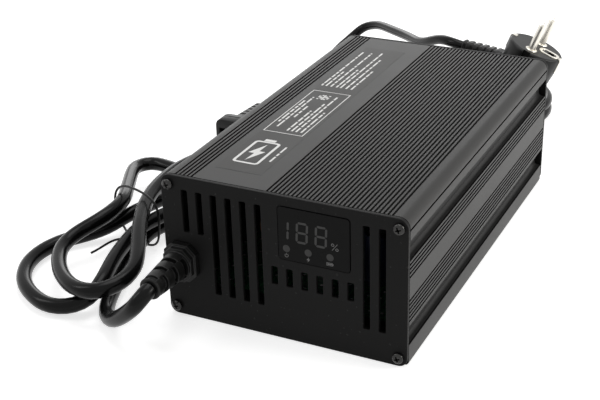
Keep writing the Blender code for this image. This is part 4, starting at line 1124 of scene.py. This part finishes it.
plate_screw = screw_head("plate_screw", 9 * MM)
for place, (x, z) in screw_places.items():
    drive("front_screw_" + place, plate_screw, x, z, FRONT, -1)
    drive("rear_screw_" + place, plate_screw, x, z, BACK, 1)
for place, (x, z) in fan_screw_at.items():
    drive("fan_screw_" + place, plate_screw, x, z, BACK, 1)
for place, (x, z) in inlet_screw_at.items():
    drive("inlet_screw_" + place, plate_screw, x, z, BACK + SEAT + INLET_FLANGE, 1)
print("screws", len(screw_places) * 2 + len(fan_screw_at) + len(inlet_screw_at))

# %% [markdown]
# ## Display
# The window is a smoked pane. Behind it one sees the unlit segments of a three digit counter, a per
# cent sign and three lamps, each with a small symbol: a ring for power, a bolt for charging and a
# full battery. They could be a picture, but thin slabs stay sharp from close by.

# %% Display window
PANE_FACE = FRONT - 0.25 * MM
pane_piece = link("display_window_fine", slab_mesh(
    "display_window_fine", [round_box(-0.8 * MM, 34.8 * MM, 43.5 * MM, 70.3 * MM, 1.5 * MM)],
    PANE_FACE, FRONT + PLATE, 0.15 * MM, 2))
dress(pane_piece, "display_pane", "display_window")


def printed_slab(name, loops, look, face, proud=0.04 * MM):
    """Flat shapes printed on a face that looks along -Y."""
    made = link(name, slab_mesh(name, in_mm(loops), face - proud, face + 0.1 * MM), look)
    return dress(made, look.name)


print("pane faces", len(pane_piece.data.polygons))

# %% [markdown]
# Each digit is drawn as its maker moulds it: seven pointed bars with a narrow gap between them. The
# digits of a font would be quicker, but they are not made of bars.

# %% Digits
SEGMENT_WIDTH = 1.1
SEGMENT_GAP = 0.22


def segment(start, end):
    """One bar of a digit between two corners, pointed at both ends."""
    (x0, z0), (x1, z1) = start, end
    length = math.hypot(x1 - x0, z1 - z0)
    ux, uz = (x1 - x0) / length, (z1 - z0) / length
    half = SEGMENT_WIDTH / 2
    low, high = SEGMENT_GAP, length - SEGMENT_GAP
    shape = [(low, 0), (low + half, half), (high - half, half), (high, 0), (high - half, -half),
             (low + half, -half)]
    return [(x0 + ux * along - uz * across, z0 + uz * along + ux * across) for along, across in shape]


def digit(x, z, width, height, which="abcdefg"):
    """A seven segment digit that leans a little to the right."""
    slant = 0.5
    left = [(x, z), (x + slant / 2, z + height / 2), (x + slant, z + height)]
    right = [(px + width, pz) for px, pz in left]
    ways = {"a": (left[2], right[2]), "b": (right[1], right[2]), "c": (right[0], right[1]),
            "d": (left[0], right[0]), "e": (left[0], left[1]), "f": (left[1], left[2]),
            "g": (left[1], right[1])}
    return [segment(*ways[name]) for name in which]


digits = digit(-1.3, 54, 5.2, 9.4, "bc") + digit(8.5, 53.9, 5.0, 9.8) + digit(18.0, 53.9, 5.0, 9.8)
printed_slab("display_digits", digits, SEGMENT, PANE_FACE)
print(len(digits), "segments")

# %% [markdown]
# The small signs are outlines too, and a ring is one outline inside another. The lamps are shallow
# lenses, turned like a coin.

# %% Signs and lamps


def hoop(x, z, radius, line, start=0, end=360, steps=24):
    """A ring, or part of one, as loops of an outline."""
    if end - start >= 360:
        return [circle(x, z, radius, steps), circle(x, z, radius - line, steps)]
    return [arc(x, z, radius, start, end, steps) + arc(x, z, radius - line, end, start, steps)]


captions = hoop(26.5, 56.1, 0.75, 0.25, steps=16) + hoop(28.6, 54.0, 0.75, 0.25, steps=16)
captions += [[(26.1, 53.4), (26.4, 53.4), (29.0, 56.8), (28.7, 56.8)]]
captions += hoop(3.2, 45.8, 0.95, 0.25, 120, 420) + [box_loop(3.08, 3.32, 45.9, 47.1)]
captions += [[(14.5, 47.1), (13.3, 45.65), (14.1, 45.65), (13.8, 44.5), (15.1, 46.1), (14.3, 46.1)]]
captions += [box_loop(23.3, 26.3, 45.1, 46.7), box_loop(23.5, 26.1, 45.3, 46.5)]
captions += [box_loop(x0, x1, 45.55, 46.25) for x0, x1 in ((23.8, 24.5), (24.7, 25.3), (25.4, 25.9))]
captions += [box_loop(26.4, 26.7, 45.5, 46.3)]
printed_slab("display_captions", captions, CAPTION, PANE_FACE)
for number, x in enumerate((3.2, 14.2, 25.1), 1):
    lens = turned_mm("lamp_lens", [(0, -0.2), (1.8, -0.2), (1.8, 0.02), (1.4, 0.08), (0, 0.1)], 32)
    made = link("lamp_face_" + str(number), lens)
    made.location = (x * MM, PANE_FACE, 49.4 * MM)
    made.rotation_euler = (math.pi / 2, 0, 0)
    dress(made, "lamp_lens")
print(len(captions), "outlines of signs")

# %% [markdown]
# ## Label
# The top carries a printed film in the flat field between the grooves: a symbol of a battery with a
# bolt, and a framed panel, rows of dashes and a small square of tiles. The print could be a picture
# too. Here it is a slab a few hundredths of a millimetre thick, so that it is sharp in any light.

# %% Label film


def flat_piece(name, loops, look, low, high):
    """Outlines in X, and in millimetres behind the front face, extruded upwards from the top."""
    mesh = slab_mesh(name, [[(x * MM, FRONT + y * MM) for x, y in loop] for loop in loops],
                     -HEIGHT - high, -HEIGHT - low)
    mesh.transform(Matrix.Rotation(-math.pi / 2, 4, "X"))
    return dress(link(name, mesh, look), look.name)


flat_piece("label_edge", [round_box(-42.0, -17.1, 15.9, 197.3, 0.8, 4)], FILM_EDGE, -0.4 * MM, 0.02 * MM)
flat_piece("label_film", [round_box(-41.7, -17.4, 16.2, 197, 0.6, 4)], FILM, -0.4 * MM, 0.05 * MM)
print("film", round(41.7 - 17.4, 1), "x", round(197 - 16.2, 1), "mm")

# %% [markdown]
# A row of dashes is filled from a short list of lengths. Each row starts at another place in the
# list, so that no two rows look alike, and still every run gives the same print.

# %% Print on the label
ROWS = [(-21.0, 31, 49), (-39.6, 77, 108), (-37.3, 71, 114), (-34.7, 85, 101), (-30.2, 68, 96),
        (-27.7, 68, 107), (-25.3, 68, 118), (-22.5, 68, 96), (-40.7, 131.4, 188.6), (-38.2, 131.4, 155),
        (-35.3, 131.4, 188.6), (-32.0, 131.4, 160.7), (-29.6, 131.4, 190.7), (-26.3, 131.4, 180),
        (-23.2, 131.4, 163)]
DASHES = (6.2, 2.8, 8.4, 4.6, 3.4, 7.2, 5.4)
DASH_GAP = 1.1
TILE = 1.3
dashes = []
for number, (x, start, end) in enumerate(ROWS):
    at = start
    step = number
    while at < end - 1:
        stop = min(end, at + DASHES[step % len(DASHES)])
        dashes.append(box_loop(x + 0.1, x + 1.1, at, stop))
        at = stop + DASH_GAP
        step += 1
panel = [box_loop(-41.2, -19.2, 64.0, 123.6), box_loop(-40.7, -19.7, 64.5, 123.1)]
tiles = []
for row in range(5):
    for column in range(5):
        if (row * column + row + column) % 3 != 1:
            x, y = -34.6 + row * TILE, 112.2 + column * TILE
            tiles.append(box_loop(x, x + TILE - 0.2, y, y + TILE - 0.2))
battery = [round_box(-38.2, -24.2, 25.2, 51.6, 2.2, 5), round_box(-36.8, -25.6, 26.6, 50.2, 1.2, 5),
           box_loop(-34.2, -28.2, 51.9, 54.4)]
bolt = [(-30.4, 48.4), (-35.2, 37.2), (-32.0, 37.2), (-32.6, 28.6), (-27.4, 40.0), (-30.6, 40.0)]
flat_piece("label_print", dashes + panel + tiles + battery + [bolt], PRINT, -0.2 * MM, 0.08 * MM)
print(len(dashes), "dashes and", len(tiles), "tiles")

# %% [markdown]
# ## Output relief
# The relief is moulded on the cord: a stepped flange against the plate, and a tapered boot with
# slots staggered round it, so that it can bend. Its parts are melted together on a grid, because a
# mould leaves every seam rounded. The slots are cut first, so that their edges soften too.

# %% Output relief


def octagon(width, height, y, corner):
    x, z = width / 2, height / 2
    points = [(x, z - corner), (x - corner, z), (-x + corner, z), (-x, z - corner),
              (-x, -z + corner), (-x + corner, -z), (x - corner, -z), (x, -z + corner)]
    return [(px, y, pz) for px, pz in points]


def ring_piece(name, inner, outer, start, end, y, width, steps=16):
    sections = []
    for angle in (start + (end - start) * i / steps for i in range(steps + 1)):
        c, s = math.cos(math.radians(angle)), math.sin(math.radians(angle))
        sections.append([(r * c, py, r * s) for r, py in
                         ((inner, y), (outer, y), (outer, y + width), (inner, y + width))])
    return loft_mesh(name, sections)


boot_start = -5.9 * MM
boot_tip = -30.6 * MM
boot = turned_mesh("relief_boot", [(0, boot_tip), (5.0 * MM, boot_tip), (5.6 * MM, boot_tip + 0.6 * MM),
                                   (5.6 * MM, boot_tip + 3.4 * MM), (7.4 * MM, boot_start + 1 * MM),
                                   (0, boot_start + 1 * MM)], 64)
boot.transform(Matrix.Rotation(-math.pi / 2, 4, "X"))
relief_slots = []
for row in range(6):
    y = boot_start - 1.4 * MM - 2.7 * MM - row * 3.95 * MM
    first = 57 if row % 2 else -33
    for turn_at in (first, first + 180):
        relief_slots.append(ring_piece("relief_slot", 4.4 * MM, 10.4 * MM, turn_at - 1, turn_at + 87,
                                       y - 0.1 * MM, 2.9 * MM))
slotted = cut(link("relief_boot", boot), relief_slots)
flange = loft_mesh("relief_flange", [octagon(17.5 * MM, 19.5 * MM, -SEAT, 4.2 * MM),
                                     octagon(17.5 * MM, 19.5 * MM, -3.3 * MM, 4.2 * MM)])
step_up = loft_mesh("relief_step", [octagon(15.3 * MM, 17.3 * MM, -2.8 * MM, 4.2 * MM),
                                    octagon(15.3 * MM, 17.3 * MM, -5.9 * MM, 4.2 * MM)])
neck = turned_mm("relief_neck", [(0, -6.1), (5.8, -6.1), (5.8, 2), (0, 2)], 48)
neck.transform(Matrix.Rotation(math.pi / 2, 4, "X"))
relief = melted("output_relief_fine", [slotted.data, flange, step_up, neck], 0.2 * MM, 2)
bpy.data.objects.remove(slotted)
relief.location = (RELIEF_X, FRONT, RELIEF_Z)
dress(relief, "moulded_black", "output_strain_relief")
print("relief faces", len(relief.data.polygons))

# %% [markdown]
# ## Moulded ends
# The two connectors and the plug are moulded on their cords. Their bodies are rows of rounded
# sections, joined one after the other, and their boots have ribs, so that they bend evenly. A box
# with bevels would be quicker, but it could not taper and swell as these do.

# %% Output connector


def ribs(count):
    """Shares along a boot, each with 1 where the section lies in a groove."""
    parts = ((0, 0), (0.30, 0), (0.36, 0.8), (0.42, 1), (0.58, 1), (0.64, 0.8), (0.70, 0))
    return [((i + part) / count, deep) for i in range(count) for part, deep in parts] + [(1, 0)]


def soft_ring(x, z, half_w, half_h, radius, y, steps=6):
    """A rounded section, square to Y, in millimetres."""
    return [(px * MM, y * MM, pz * MM)
            for px, pz in round_box(x - half_w, x + half_w, z - half_h, z + half_h, radius, steps)]


def boot_rings(x, z, start, end, wide, narrow, count, depth):
    rings = []
    for share, deep in ribs(count):
        half = wide + (narrow - wide) * share - depth * deep
        rings.append(soft_ring(x, z, half, half, half * 0.6, start + (end - start) * share))
    return rings


CON_X = -130.5
CON_Z = 9.8
connector_body = [(77.0, 10.1, 8.4, 4.0), (77.3, 10.7, 9.0, 4.3), (77.9, 11, 9.3, 4.5), (83.4, 11, 9.3, 4.5),
                  (83.6, 10.6, 8.9, 4.3), (84.2, 10.6, 8.9, 4.3), (84.4, 11, 9.3, 4.5), (87.1, 11, 9.3, 4.5),
                  (88.4, 10.7, 9.0, 4.4), (89.2, 9.6, 8.2, 4.0), (89.5, 8.4, 7.4, 3.8)]
connector = link("output_connector_fine", loft_mesh("output_connector_fine", [
    soft_ring(CON_X, CON_Z, w, h, radius, y) for y, w, h, radius in connector_body
] + boot_rings(CON_X, CON_Z, 90, 119.5, 6.8, 5.4, 6, 0.8)))
POCKET_OFFSET = 4.7
pockets = joined("pockets", [box_mesh("pocket", (7 * MM, 20 * MM, 7 * MM),
                                      ((CON_X + way * POCKET_OFFSET) * MM, 77 * MM, CON_Z * MM))
                             for way in (-1, 1)])
cut(connector, [pockets])
soften(connector.data)
dress(connector, "moulded_black", "output_connector")
for way, side_name in ((-1, "left"), (1, "right")):
    tongue = loft_mesh("contact", [soft_ring(0, 0, w, 0.6, 0.3, y, 3)
                                   for y, w in ((79.6, 1.5), (80.6, 2.2), (87.0, 2.2))])
    tongue.transform(Matrix.Translation(((CON_X + way * POCKET_OFFSET) * MM, 0, CON_Z * MM)))
    dress(link("output_contact_" + side_name, tongue), "pin_nickel")
print("connector faces", len(connector.data.polygons))

# %% [markdown]
# The mains connector sits in the inlet, with a nose that goes into it. The nose is made apart and
# united with the body, because its shape has cut corners where the body's are round.

# %% Mains connector
inlet_x, inlet_z = INLET_X / MM, INLET_Z / MM
body_rings = [(111.2, 13.4, 10.9, 4.8), (111.5, 13.8, 11.3, 5.0), (112.2, 14, 11.5, 5.2)]
for groove_y in (114.0, 116.6, 119.2):
    body_rings += [(groove_y, 14, 11.5, 5.2), (groove_y + 0.3, 13.6, 11.1, 5.0),
                   (groove_y + 0.9, 13.6, 11.1, 5.0),
                   (groove_y + 1.2, 14, 11.5, 5.2)]
body_rings += [(122.2, 14, 11.5, 5.2), (124.5, 13.5, 11.1, 5.1), (128.5, 12.0, 9.9, 4.9),
               (132.4, 10.4, 8.8, 4.7), (133.6, 9.6, 8.2, 4.5), (134.4, 8.4, 7.4, 4.2), (135.0, 7.0, 6.6, 3.8)]
mains_end = link("mains_connector_fine", loft_mesh("mains_connector_fine", [
    soft_ring(inlet_x, inlet_z, w, h, radius, y) for y, w, h, radius in body_rings
] + boot_rings(inlet_x, inlet_z, 135.3, 153.2, 6.0, 4.6, 4, 0.7)))
nose = loft_mesh("nose", [[(x, y * MM, z) for x, z in inlet_outline(24 * MM, 16.6 * MM, 4 * MM)]
                          for y in (95.7, 111.9)])
cut(mains_end, [nose], "UNION")
sockets = joined("sockets", [box_mesh("socket", (2.6 * MM, 14 * MM, 4.6 * MM),
                                      ((inlet_x + x) * MM, 100.4 * MM, (inlet_z + z) * MM))
                             for x, z in ((0, 2.2), (-7, -2.2), (7, -2.2))])
cut(mains_end, [sockets])
soften(mains_end.data)
dress(mains_end, "moulded_black", "mains_connector")
print("mains connector faces", len(mains_end.data.polygons))

# %% [markdown]
# The plug has a round face with two pins, an earth hole in a bright frame, earth clips at its rim
# and guide notches. It could be drawn where it lies, but it is easier to draw upright, and then to
# set each of its pieces at the same tilt.

# %% Mains plug
plug_place = Matrix.Translation(PLUG_FACE) @ PLUG_TILT.to_4x4()


def in_plug(name, mesh, finish, *node_names):
    """Sets a piece of the plug at the plug's tilt."""
    made = link(name, mesh)
    made.matrix_world = plug_place
    return dress(made, finish, *node_names)


def plug_ring(share, half_w, half_h):
    """A section of the plug's boot, which leans as the boot drops."""
    reach = PLUG_BOOT / MM
    drop = PLUG_BOOT_DROP / MM * share
    x = -18 - 3 - (reach - 3) * share
    return [((x - pz * drop / reach) * MM, py * MM, PLUG_BOOT_AT + (pz - drop) * MM)
            for py, pz in round_box(-half_w, half_w, -half_h, half_h, min(half_w, half_h) * 0.6, 6)]


root = [(-9 * MM, py * MM, PLUG_BOOT_AT + pz * MM) for py, pz in round_box(-8, 8, -6.8, 6.8, 3.6, 6)]
plug_boot = loft_mesh("plug_boot", [root] + [
    plug_ring(share, 6.6 - 2 * share - 0.9 * deep, 6 - 1.4 * share - 0.9 * deep) for share, deep in ribs(5)])
plug_body = turned_mm("plug_body", [
    (0, -39.5), (8.2, -39.5), (9.4, -39.2), (10.3, -38.5), (13.7, -34), (15.3, -28), (16.5, -20), (17.4, -12),
    (18, -5.6), (18, -1.5), (17.8, -0.7), (17.3, -0.2), (16.6, 0), (0, 0)], 72)
plug_piece = melted("mains_plug_fine", [plug_body, plug_boot], 0.36 * MM, 3)
notches = [box_mesh("notch", (5 * MM, 4 * MM, 20 * MM), (0, way * 18.4 * MM, -8 * MM)) for way in (-1, 1)]
holes = []
for x, y, radius, depth in ((0, -9.5, 2.7, 8), (0, 9.5, 2.7, 8), (10.5, 0, 2.6, 16)):
    hole = turned_mm("hole", [(0, -depth), (radius, -depth), (radius, 1), (0, 1)], 32)
    hole.transform(Matrix.Translation((x * MM, y * MM, 0)))
    holes.append(hole)
cut(plug_piece, [joined("plug_cuts", notches + holes)])
soften(plug_piece.data, 40)
plug_piece.matrix_world = plug_place
dress(plug_piece, "moulded_black", "mains_plug")

pin = turned_mm("plug_pin_fine", [(0, -7.7), (2.4, -7.7), (2.4, 16.4), (2.34, 17.2), (2.1, 18.0), (1.6, 18.6),
                                  (0.9, 18.92), (0, 19)], 40)
collar = turned_mm("pin_collar", [(2.5, -0.2), (3.8, -0.2), (3.8, 0.2), (3.6, 0.4), (2.7, 0.4), (2.5, 0.2)],
                   40, True)
for side_name, way in (("line", -1), ("neutral", 1)):
    at = Matrix.Translation((0, way * 9.5 * MM, 0))
    for label, source, old in (("plug_pin_" + side_name + "_fine", pin, ["plug_pin_" + side_name]),
                               ("pin_collar_" + side_name, collar, [])):
        shape = source.copy()
        shape.transform(at)
        in_plug(label, shape, "pin_nickel", *old)
earth_ring = slab_mesh("earth_ring", [
    round_box(-6.8 * MM, 6.8 * MM, -4.6 * MM, 4.6 * MM, 4.4 * MM, 12),
    round_box(-4.9 * MM, 4.9 * MM, -2.8 * MM, 2.8 * MM, 2.7 * MM, 12)], -0.2 * MM, 0.5 * MM, 0.15 * MM, 2)
earth_ring.transform(Matrix.Translation((9.4 * MM, 0, 0)) @ Matrix.Rotation(math.pi / 2, 4, "X"))
in_plug("plug_earth_ring", earth_ring, "pin_nickel")
for side_name, way, lip in (("inner", -1, 14.4), ("outer", 1, 16.4)):
    strip = [(18.15, -9), (18.15, -0.9), (17.6, 0.2), (16.9, 0.4), (lip, 0.4), (lip, -0.1), (16.7, -0.1),
             (17.2, -0.4), (17.6, -1.1), (17.6, -9)]
    clip = loft_mesh("earth_clip", [[(way * x * MM, y * MM, z * MM) for x, z in strip] for y in (-2, 2)])
    in_plug("earth_clip_" + side_name, clip, "pin_nickel")
print("plug faces", len(plug_piece.data.polygons))

# %% [markdown]
# ## Fan
# The rotor has seven swept blades on a cup with a rounded rim. A flat blade would look like a toy's,
# so each one is joined from ten sections that turn flatter towards the tip, as air needs them to.

# %% Fan rotor
FAN_START = 90.6 * MM
HUB = 12
TIP = 27.4
ROTOR_LOW = 2.9
ROTOR_HIGH = 13.8


def blade(turn_at):
    """A swept blade, pitched more steeply at its root than at its tip."""
    rows = []
    for step in range(10):
        share = step / 9
        sweep = 2.5 * share + 14.5 * share ** 1.8
        radius = HUB - 1 + share * (TIP - HUB + 1)
        pitch = math.radians(48 - 20 * share)
        half_chord = (9.6 + share * 5) / 2
        row = []
        for along, across in ((-1, 0), (-0.9, -0.45), (-0.4, -0.55), (0.4, -0.55), (0.9, -0.4), (1, 0),
                              (0.9, 0.4), (0.4, 0.55), (-0.4, 0.55), (-0.9, 0.45)):
            u = along * half_chord
            v = across + 0.5 * (1 - along * along) - 0.3
            tangent = u * math.cos(pitch) - v * math.sin(pitch)
            height = u * math.sin(pitch) + v * math.cos(pitch)
            angle = turn_at + math.radians(sweep) + tangent / radius
            row.append((radius * math.cos(angle) * MM, radius * math.sin(angle) * MM,
                        ((ROTOR_LOW + ROTOR_HIGH) / 2 + height) * MM))
        rows.append(row)
    return loft_mesh("blade", rows)


hub = turned_mm("fan_rotor_fine", [
    (0, 12.4), (1.9, 12.4), (1.9, ROTOR_LOW), (HUB, ROTOR_LOW), (HUB, 12.4), (11.8, 13.1), (11.3, 13.6),
    (10.6, ROTOR_HIGH), (9.4, ROTOR_HIGH), (9.2, 13.5), (0, 13.5)], 72)
rotor = link("fan_rotor_fine", hub)
cut(rotor, [joined("blades", [blade(2 * math.pi * i / 7) for i in range(7)])], "UNION")
soften(rotor.data)
fan_centre = Matrix.Translation((FAN_X, FAN_START, FAN_Z))
fan_place = fan_centre @ Matrix.Rotation(-math.pi / 2, 4, "X")
rotor.matrix_world = fan_place
dress(rotor, "moulded_black", "fan_rotor", body="fan_rotor")
sticker = turned_mm("fan_sticker", [(0, 13.45), (8.4, 13.45), (8.4, 13.6), (0, 13.6)], 48)
sticker = link("fan_sticker", sticker, PRINT)
sticker.matrix_world = fan_place
dress(sticker, PRINT.name, body="fan_rotor")
print("rotor faces", len(rotor.data.polygons))

# %% [markdown]
# The frame is a square moulding with a round bore, and four struts that carry the motor's post. The
# struts are made apart and united with the frame, so that they meet the bore at any angle.

# %% Fan frame
HALF_FRAME = 30 * MM
FAN_BORE = 28.4 * MM
FAN_DEPTH = 15 * MM
rim = round_box(FAN_X - HALF_FRAME, FAN_X + HALF_FRAME, FAN_Z - HALF_FRAME, FAN_Z + HALF_FRAME, 3.5 * MM, 8)
openings = [circle(FAN_X, FAN_Z, FAN_BORE, 96)]
openings += [circle(x, z, SCREW_HOLE, 24) for x, z in fan_screw_at.values()]
frame_piece = link("fan_frame_fine", slab_mesh("fan_frame_fine", [rim] + openings, FAN_START,
                                               FAN_START + FAN_DEPTH, 0.4 * MM, 3))
supports = []
for turn_at in (45, 135, 225, 315):
    strut = loft_mesh("strut", [soft_ring(14.6, 0, 14.6, 1.2, 0.5, y, 3) for y in (0.02, 2.4)])
    strut.transform(fan_centre @ Matrix.Rotation(math.radians(turn_at), 4, "Y"))
    supports.append(strut)
post = turned_mm("post", [(0, 0.03), (11.4, 0.03), (11.8, 0.2), (12, 0.6), (12, 2.6), (1.6, 2.6), (1.6, 11.4),
                          (1.2, 11.9), (0, 12)], 64)
post.transform(fan_place)
cut(frame_piece, supports + [post], "UNION")
soften(frame_piece.data)
dress(frame_piece, "moulded_black", "fan_frame")
print("fan frame faces", len(frame_piece.data.polygons))

# %% [markdown]
# ## Inner pieces
# The chokes are wound with copper wire on ferrite rings. The wire could be a striped pattern, but it
# stands off the ring and shows in the slots, so it is one long tube that goes round the ring.

# %% Chokes


def middle_of(node_name):
    low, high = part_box(node_name)
    return (low + high) / 2


def wound(node_name, turns=30, points=14):
    centre = middle_of(node_name)
    core = turned_mm("core", [(9 + 3.0 * math.cos(a), 4.0 * math.sin(a))
                              for a in (2 * math.pi * i / 16 for i in range(16))], 48, True)
    ring = link(node_name + "_core", core)
    ring.location = centre
    dress(ring, "ferrite")
    line = []
    for i in range(turns * points + 1):
        about = 2 * math.pi * i / points
        along = math.radians(350) * i / (turns * points)
        radius = 9 + 3.5 * math.cos(about)
        place = Vector((radius * math.cos(along), radius * math.sin(along), 4.5 * math.sin(about)))
        line.append(place * MM)
    wire = tube(node_name + "_wire", line, 0.9 * MM, 2)
    wire.location = centre
    dress(wire, "copper_winding", node_name)


wound("mains_choke")
wound("output_choke")
print("chokes wound")

# %% [markdown]
# The capacitors have a rolled edge and a scored top, the fuse has metal caps, and the transistors
# stand on legs. Each is drawn at the box of its own CAD node, so that it fits wherever that lies.

# %% Capacitors, fuse and transistor legs
for node_name in ("mains_capacitor_1", "mains_capacitor_2", "output_capacitor_1", "output_capacitor_2"):
    low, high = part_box(node_name)
    r, h = (high.x - low.x) / 2 / MM, (high.z - low.z) / MM
    can = turned_mm(node_name + "_fine", [
        (0, 0), (r - 0.9, 0), (r - 0.3, 0.2), (r, 0.8), (r, 2.6), (r - 0.5, 3.2), (r - 0.5, 3.8), (r, 4.4),
        (r, h - 1), (r - 0.3, h - 0.3), (r - 0.9, h), (r - 1.7, h), (r - 1.9, h - 0.4), (0, h - 0.4)], 56)
    top_disc = turned_mm(node_name + "_top", [(0, h - 0.45), (r - 1.95, h - 0.45), (r - 1.95, h - 0.2),
                                              (0, h - 0.2)], 48)
    place = Vector(((low.x + high.x) / 2, (low.y + high.y) / 2, low.z))
    can_piece = link(node_name + "_fine", can)
    can_piece.location = place
    dress(can_piece, "capacitor_sleeve", node_name)
    disc = link(node_name + "_top", top_disc)
    cut(disc, [box_mesh("score", (r * 1.1 * MM, 0.4 * MM, 0.2 * MM), (0, 0, (h - 0.2) * MM)),
               box_mesh("score", (0.4 * MM, r * 1.1 * MM, 0.2 * MM), (0, 0, (h - 0.2) * MM))])
    disc.location = place
    dress(disc, "heat_sink")

along_x = Matrix.Translation(middle_of("fuse")) @ Matrix.Rotation(math.pi / 2, 4, "Y")
barrel = link("fuse_fine", turned_mm("fuse_fine", [(0, -9.6), (2.35, -9.6), (2.35, 9.6), (0, 9.6)], 40))
barrel.matrix_world = along_x
dress(barrel, "fuse_ceramic", "fuse")
for side_name, way in (("left", -1), ("right", 1)):
    cap = link("fuse_cap_" + side_name, turned_mm("fuse_cap", [
        (0, way * 4.9), (2.45, way * 4.9), (2.6, way * 5.1), (2.6, way * 9.6), (2.4, way * 9.9),
        (0, way * 10)], 40))
    cap.matrix_world = along_x
    dress(cap, "pin_nickel")

for number in range(1, 5):
    node_name = "power_transistor_" + str(number)
    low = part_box(node_name)[0]
    centre = middle_of(node_name)
    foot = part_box("circuit_board")[1].z + 0.1 * MM
    legs = []
    for offset in (-2.54, 0, 2.54):
        leg = loft_mesh("leg", [[(x * MM, y * MM, z) for x, y in box_loop(-w, w, -0.25, 0.25)]
                                for w, z in ((0.35, foot), (0.35, low.z - 4 * MM), (0.6, low.z - 3.4 * MM),
                                             (0.6, low.z + 0.2 * MM))])
        leg.transform(Matrix.Rotation(math.pi / 2, 4, "Z"))
        leg.transform(Matrix.Translation((centre.x, centre.y + offset * MM, 0)))
        legs.append(leg)
    dress(link(node_name + "_legs", joined("legs", legs)), "pin_nickel")
print("inner pieces ready")

# %% [markdown]
# ## The cords' finishes
# The cords and the twist tie now get their finishes. Their lengths could be typed, but they are
# measured on the routes, so they stay true.

# %% Cord finishes
dress(output_cord, "cord_black", "output_cord")
dress(twist_tie, "moulded_black", "twist_tie")
dress(mains_cord, "cord_black", "mains_cord_inlet_run", "mains_cord_coil", "mains_cord_plug_run")
round(length_of(output_line), 2)
round(length_of(tie_line), 3)
round(length_of(mains_line), 2)

# %% [markdown]
# ## The other pieces
# What is left keeps its CAD shape with a small bevel. These pieces could be drawn again, but they are
# plain solids deep inside, and a bevel is all that they lack. The list is by finish.

# %% Carried over nodes
CARRIED = {
    "board_green": ["circuit_board", "display_board"],
    "package_black": ["display_module"] + ["power_transistor_" + str(i) for i in range(1, 5)],
    "heat_sink": ["heat_sink_primary", "heat_sink_secondary"],
    "ferrite": ["transformer_core"],
    "winding_tape": ["transformer_winding"],
    "pin_nickel": ["standoff_" + place for place in ("front_left", "front_right", "rear_left", "rear_right")],
    "lamp_lens": ["status_lamp_" + str(i) for i in range(1, 4)],
    "moulded_black": ["mains_inlet"],
}
for finish, names in CARRIED.items():
    for name in names:
        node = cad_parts[name]
        edge = node.modifiers.new("edge", "BEVEL")
        edge.width = 0.25 * MM
        edge.segments = 2
        edge.angle_limit = math.radians(40)
        node.data.materials.clear()
        node.data.materials.append(LOOKS[finish])
print(sum(len(names) for names in CARRIED.values()), "nodes carried over")

# %% Finish
note_size()
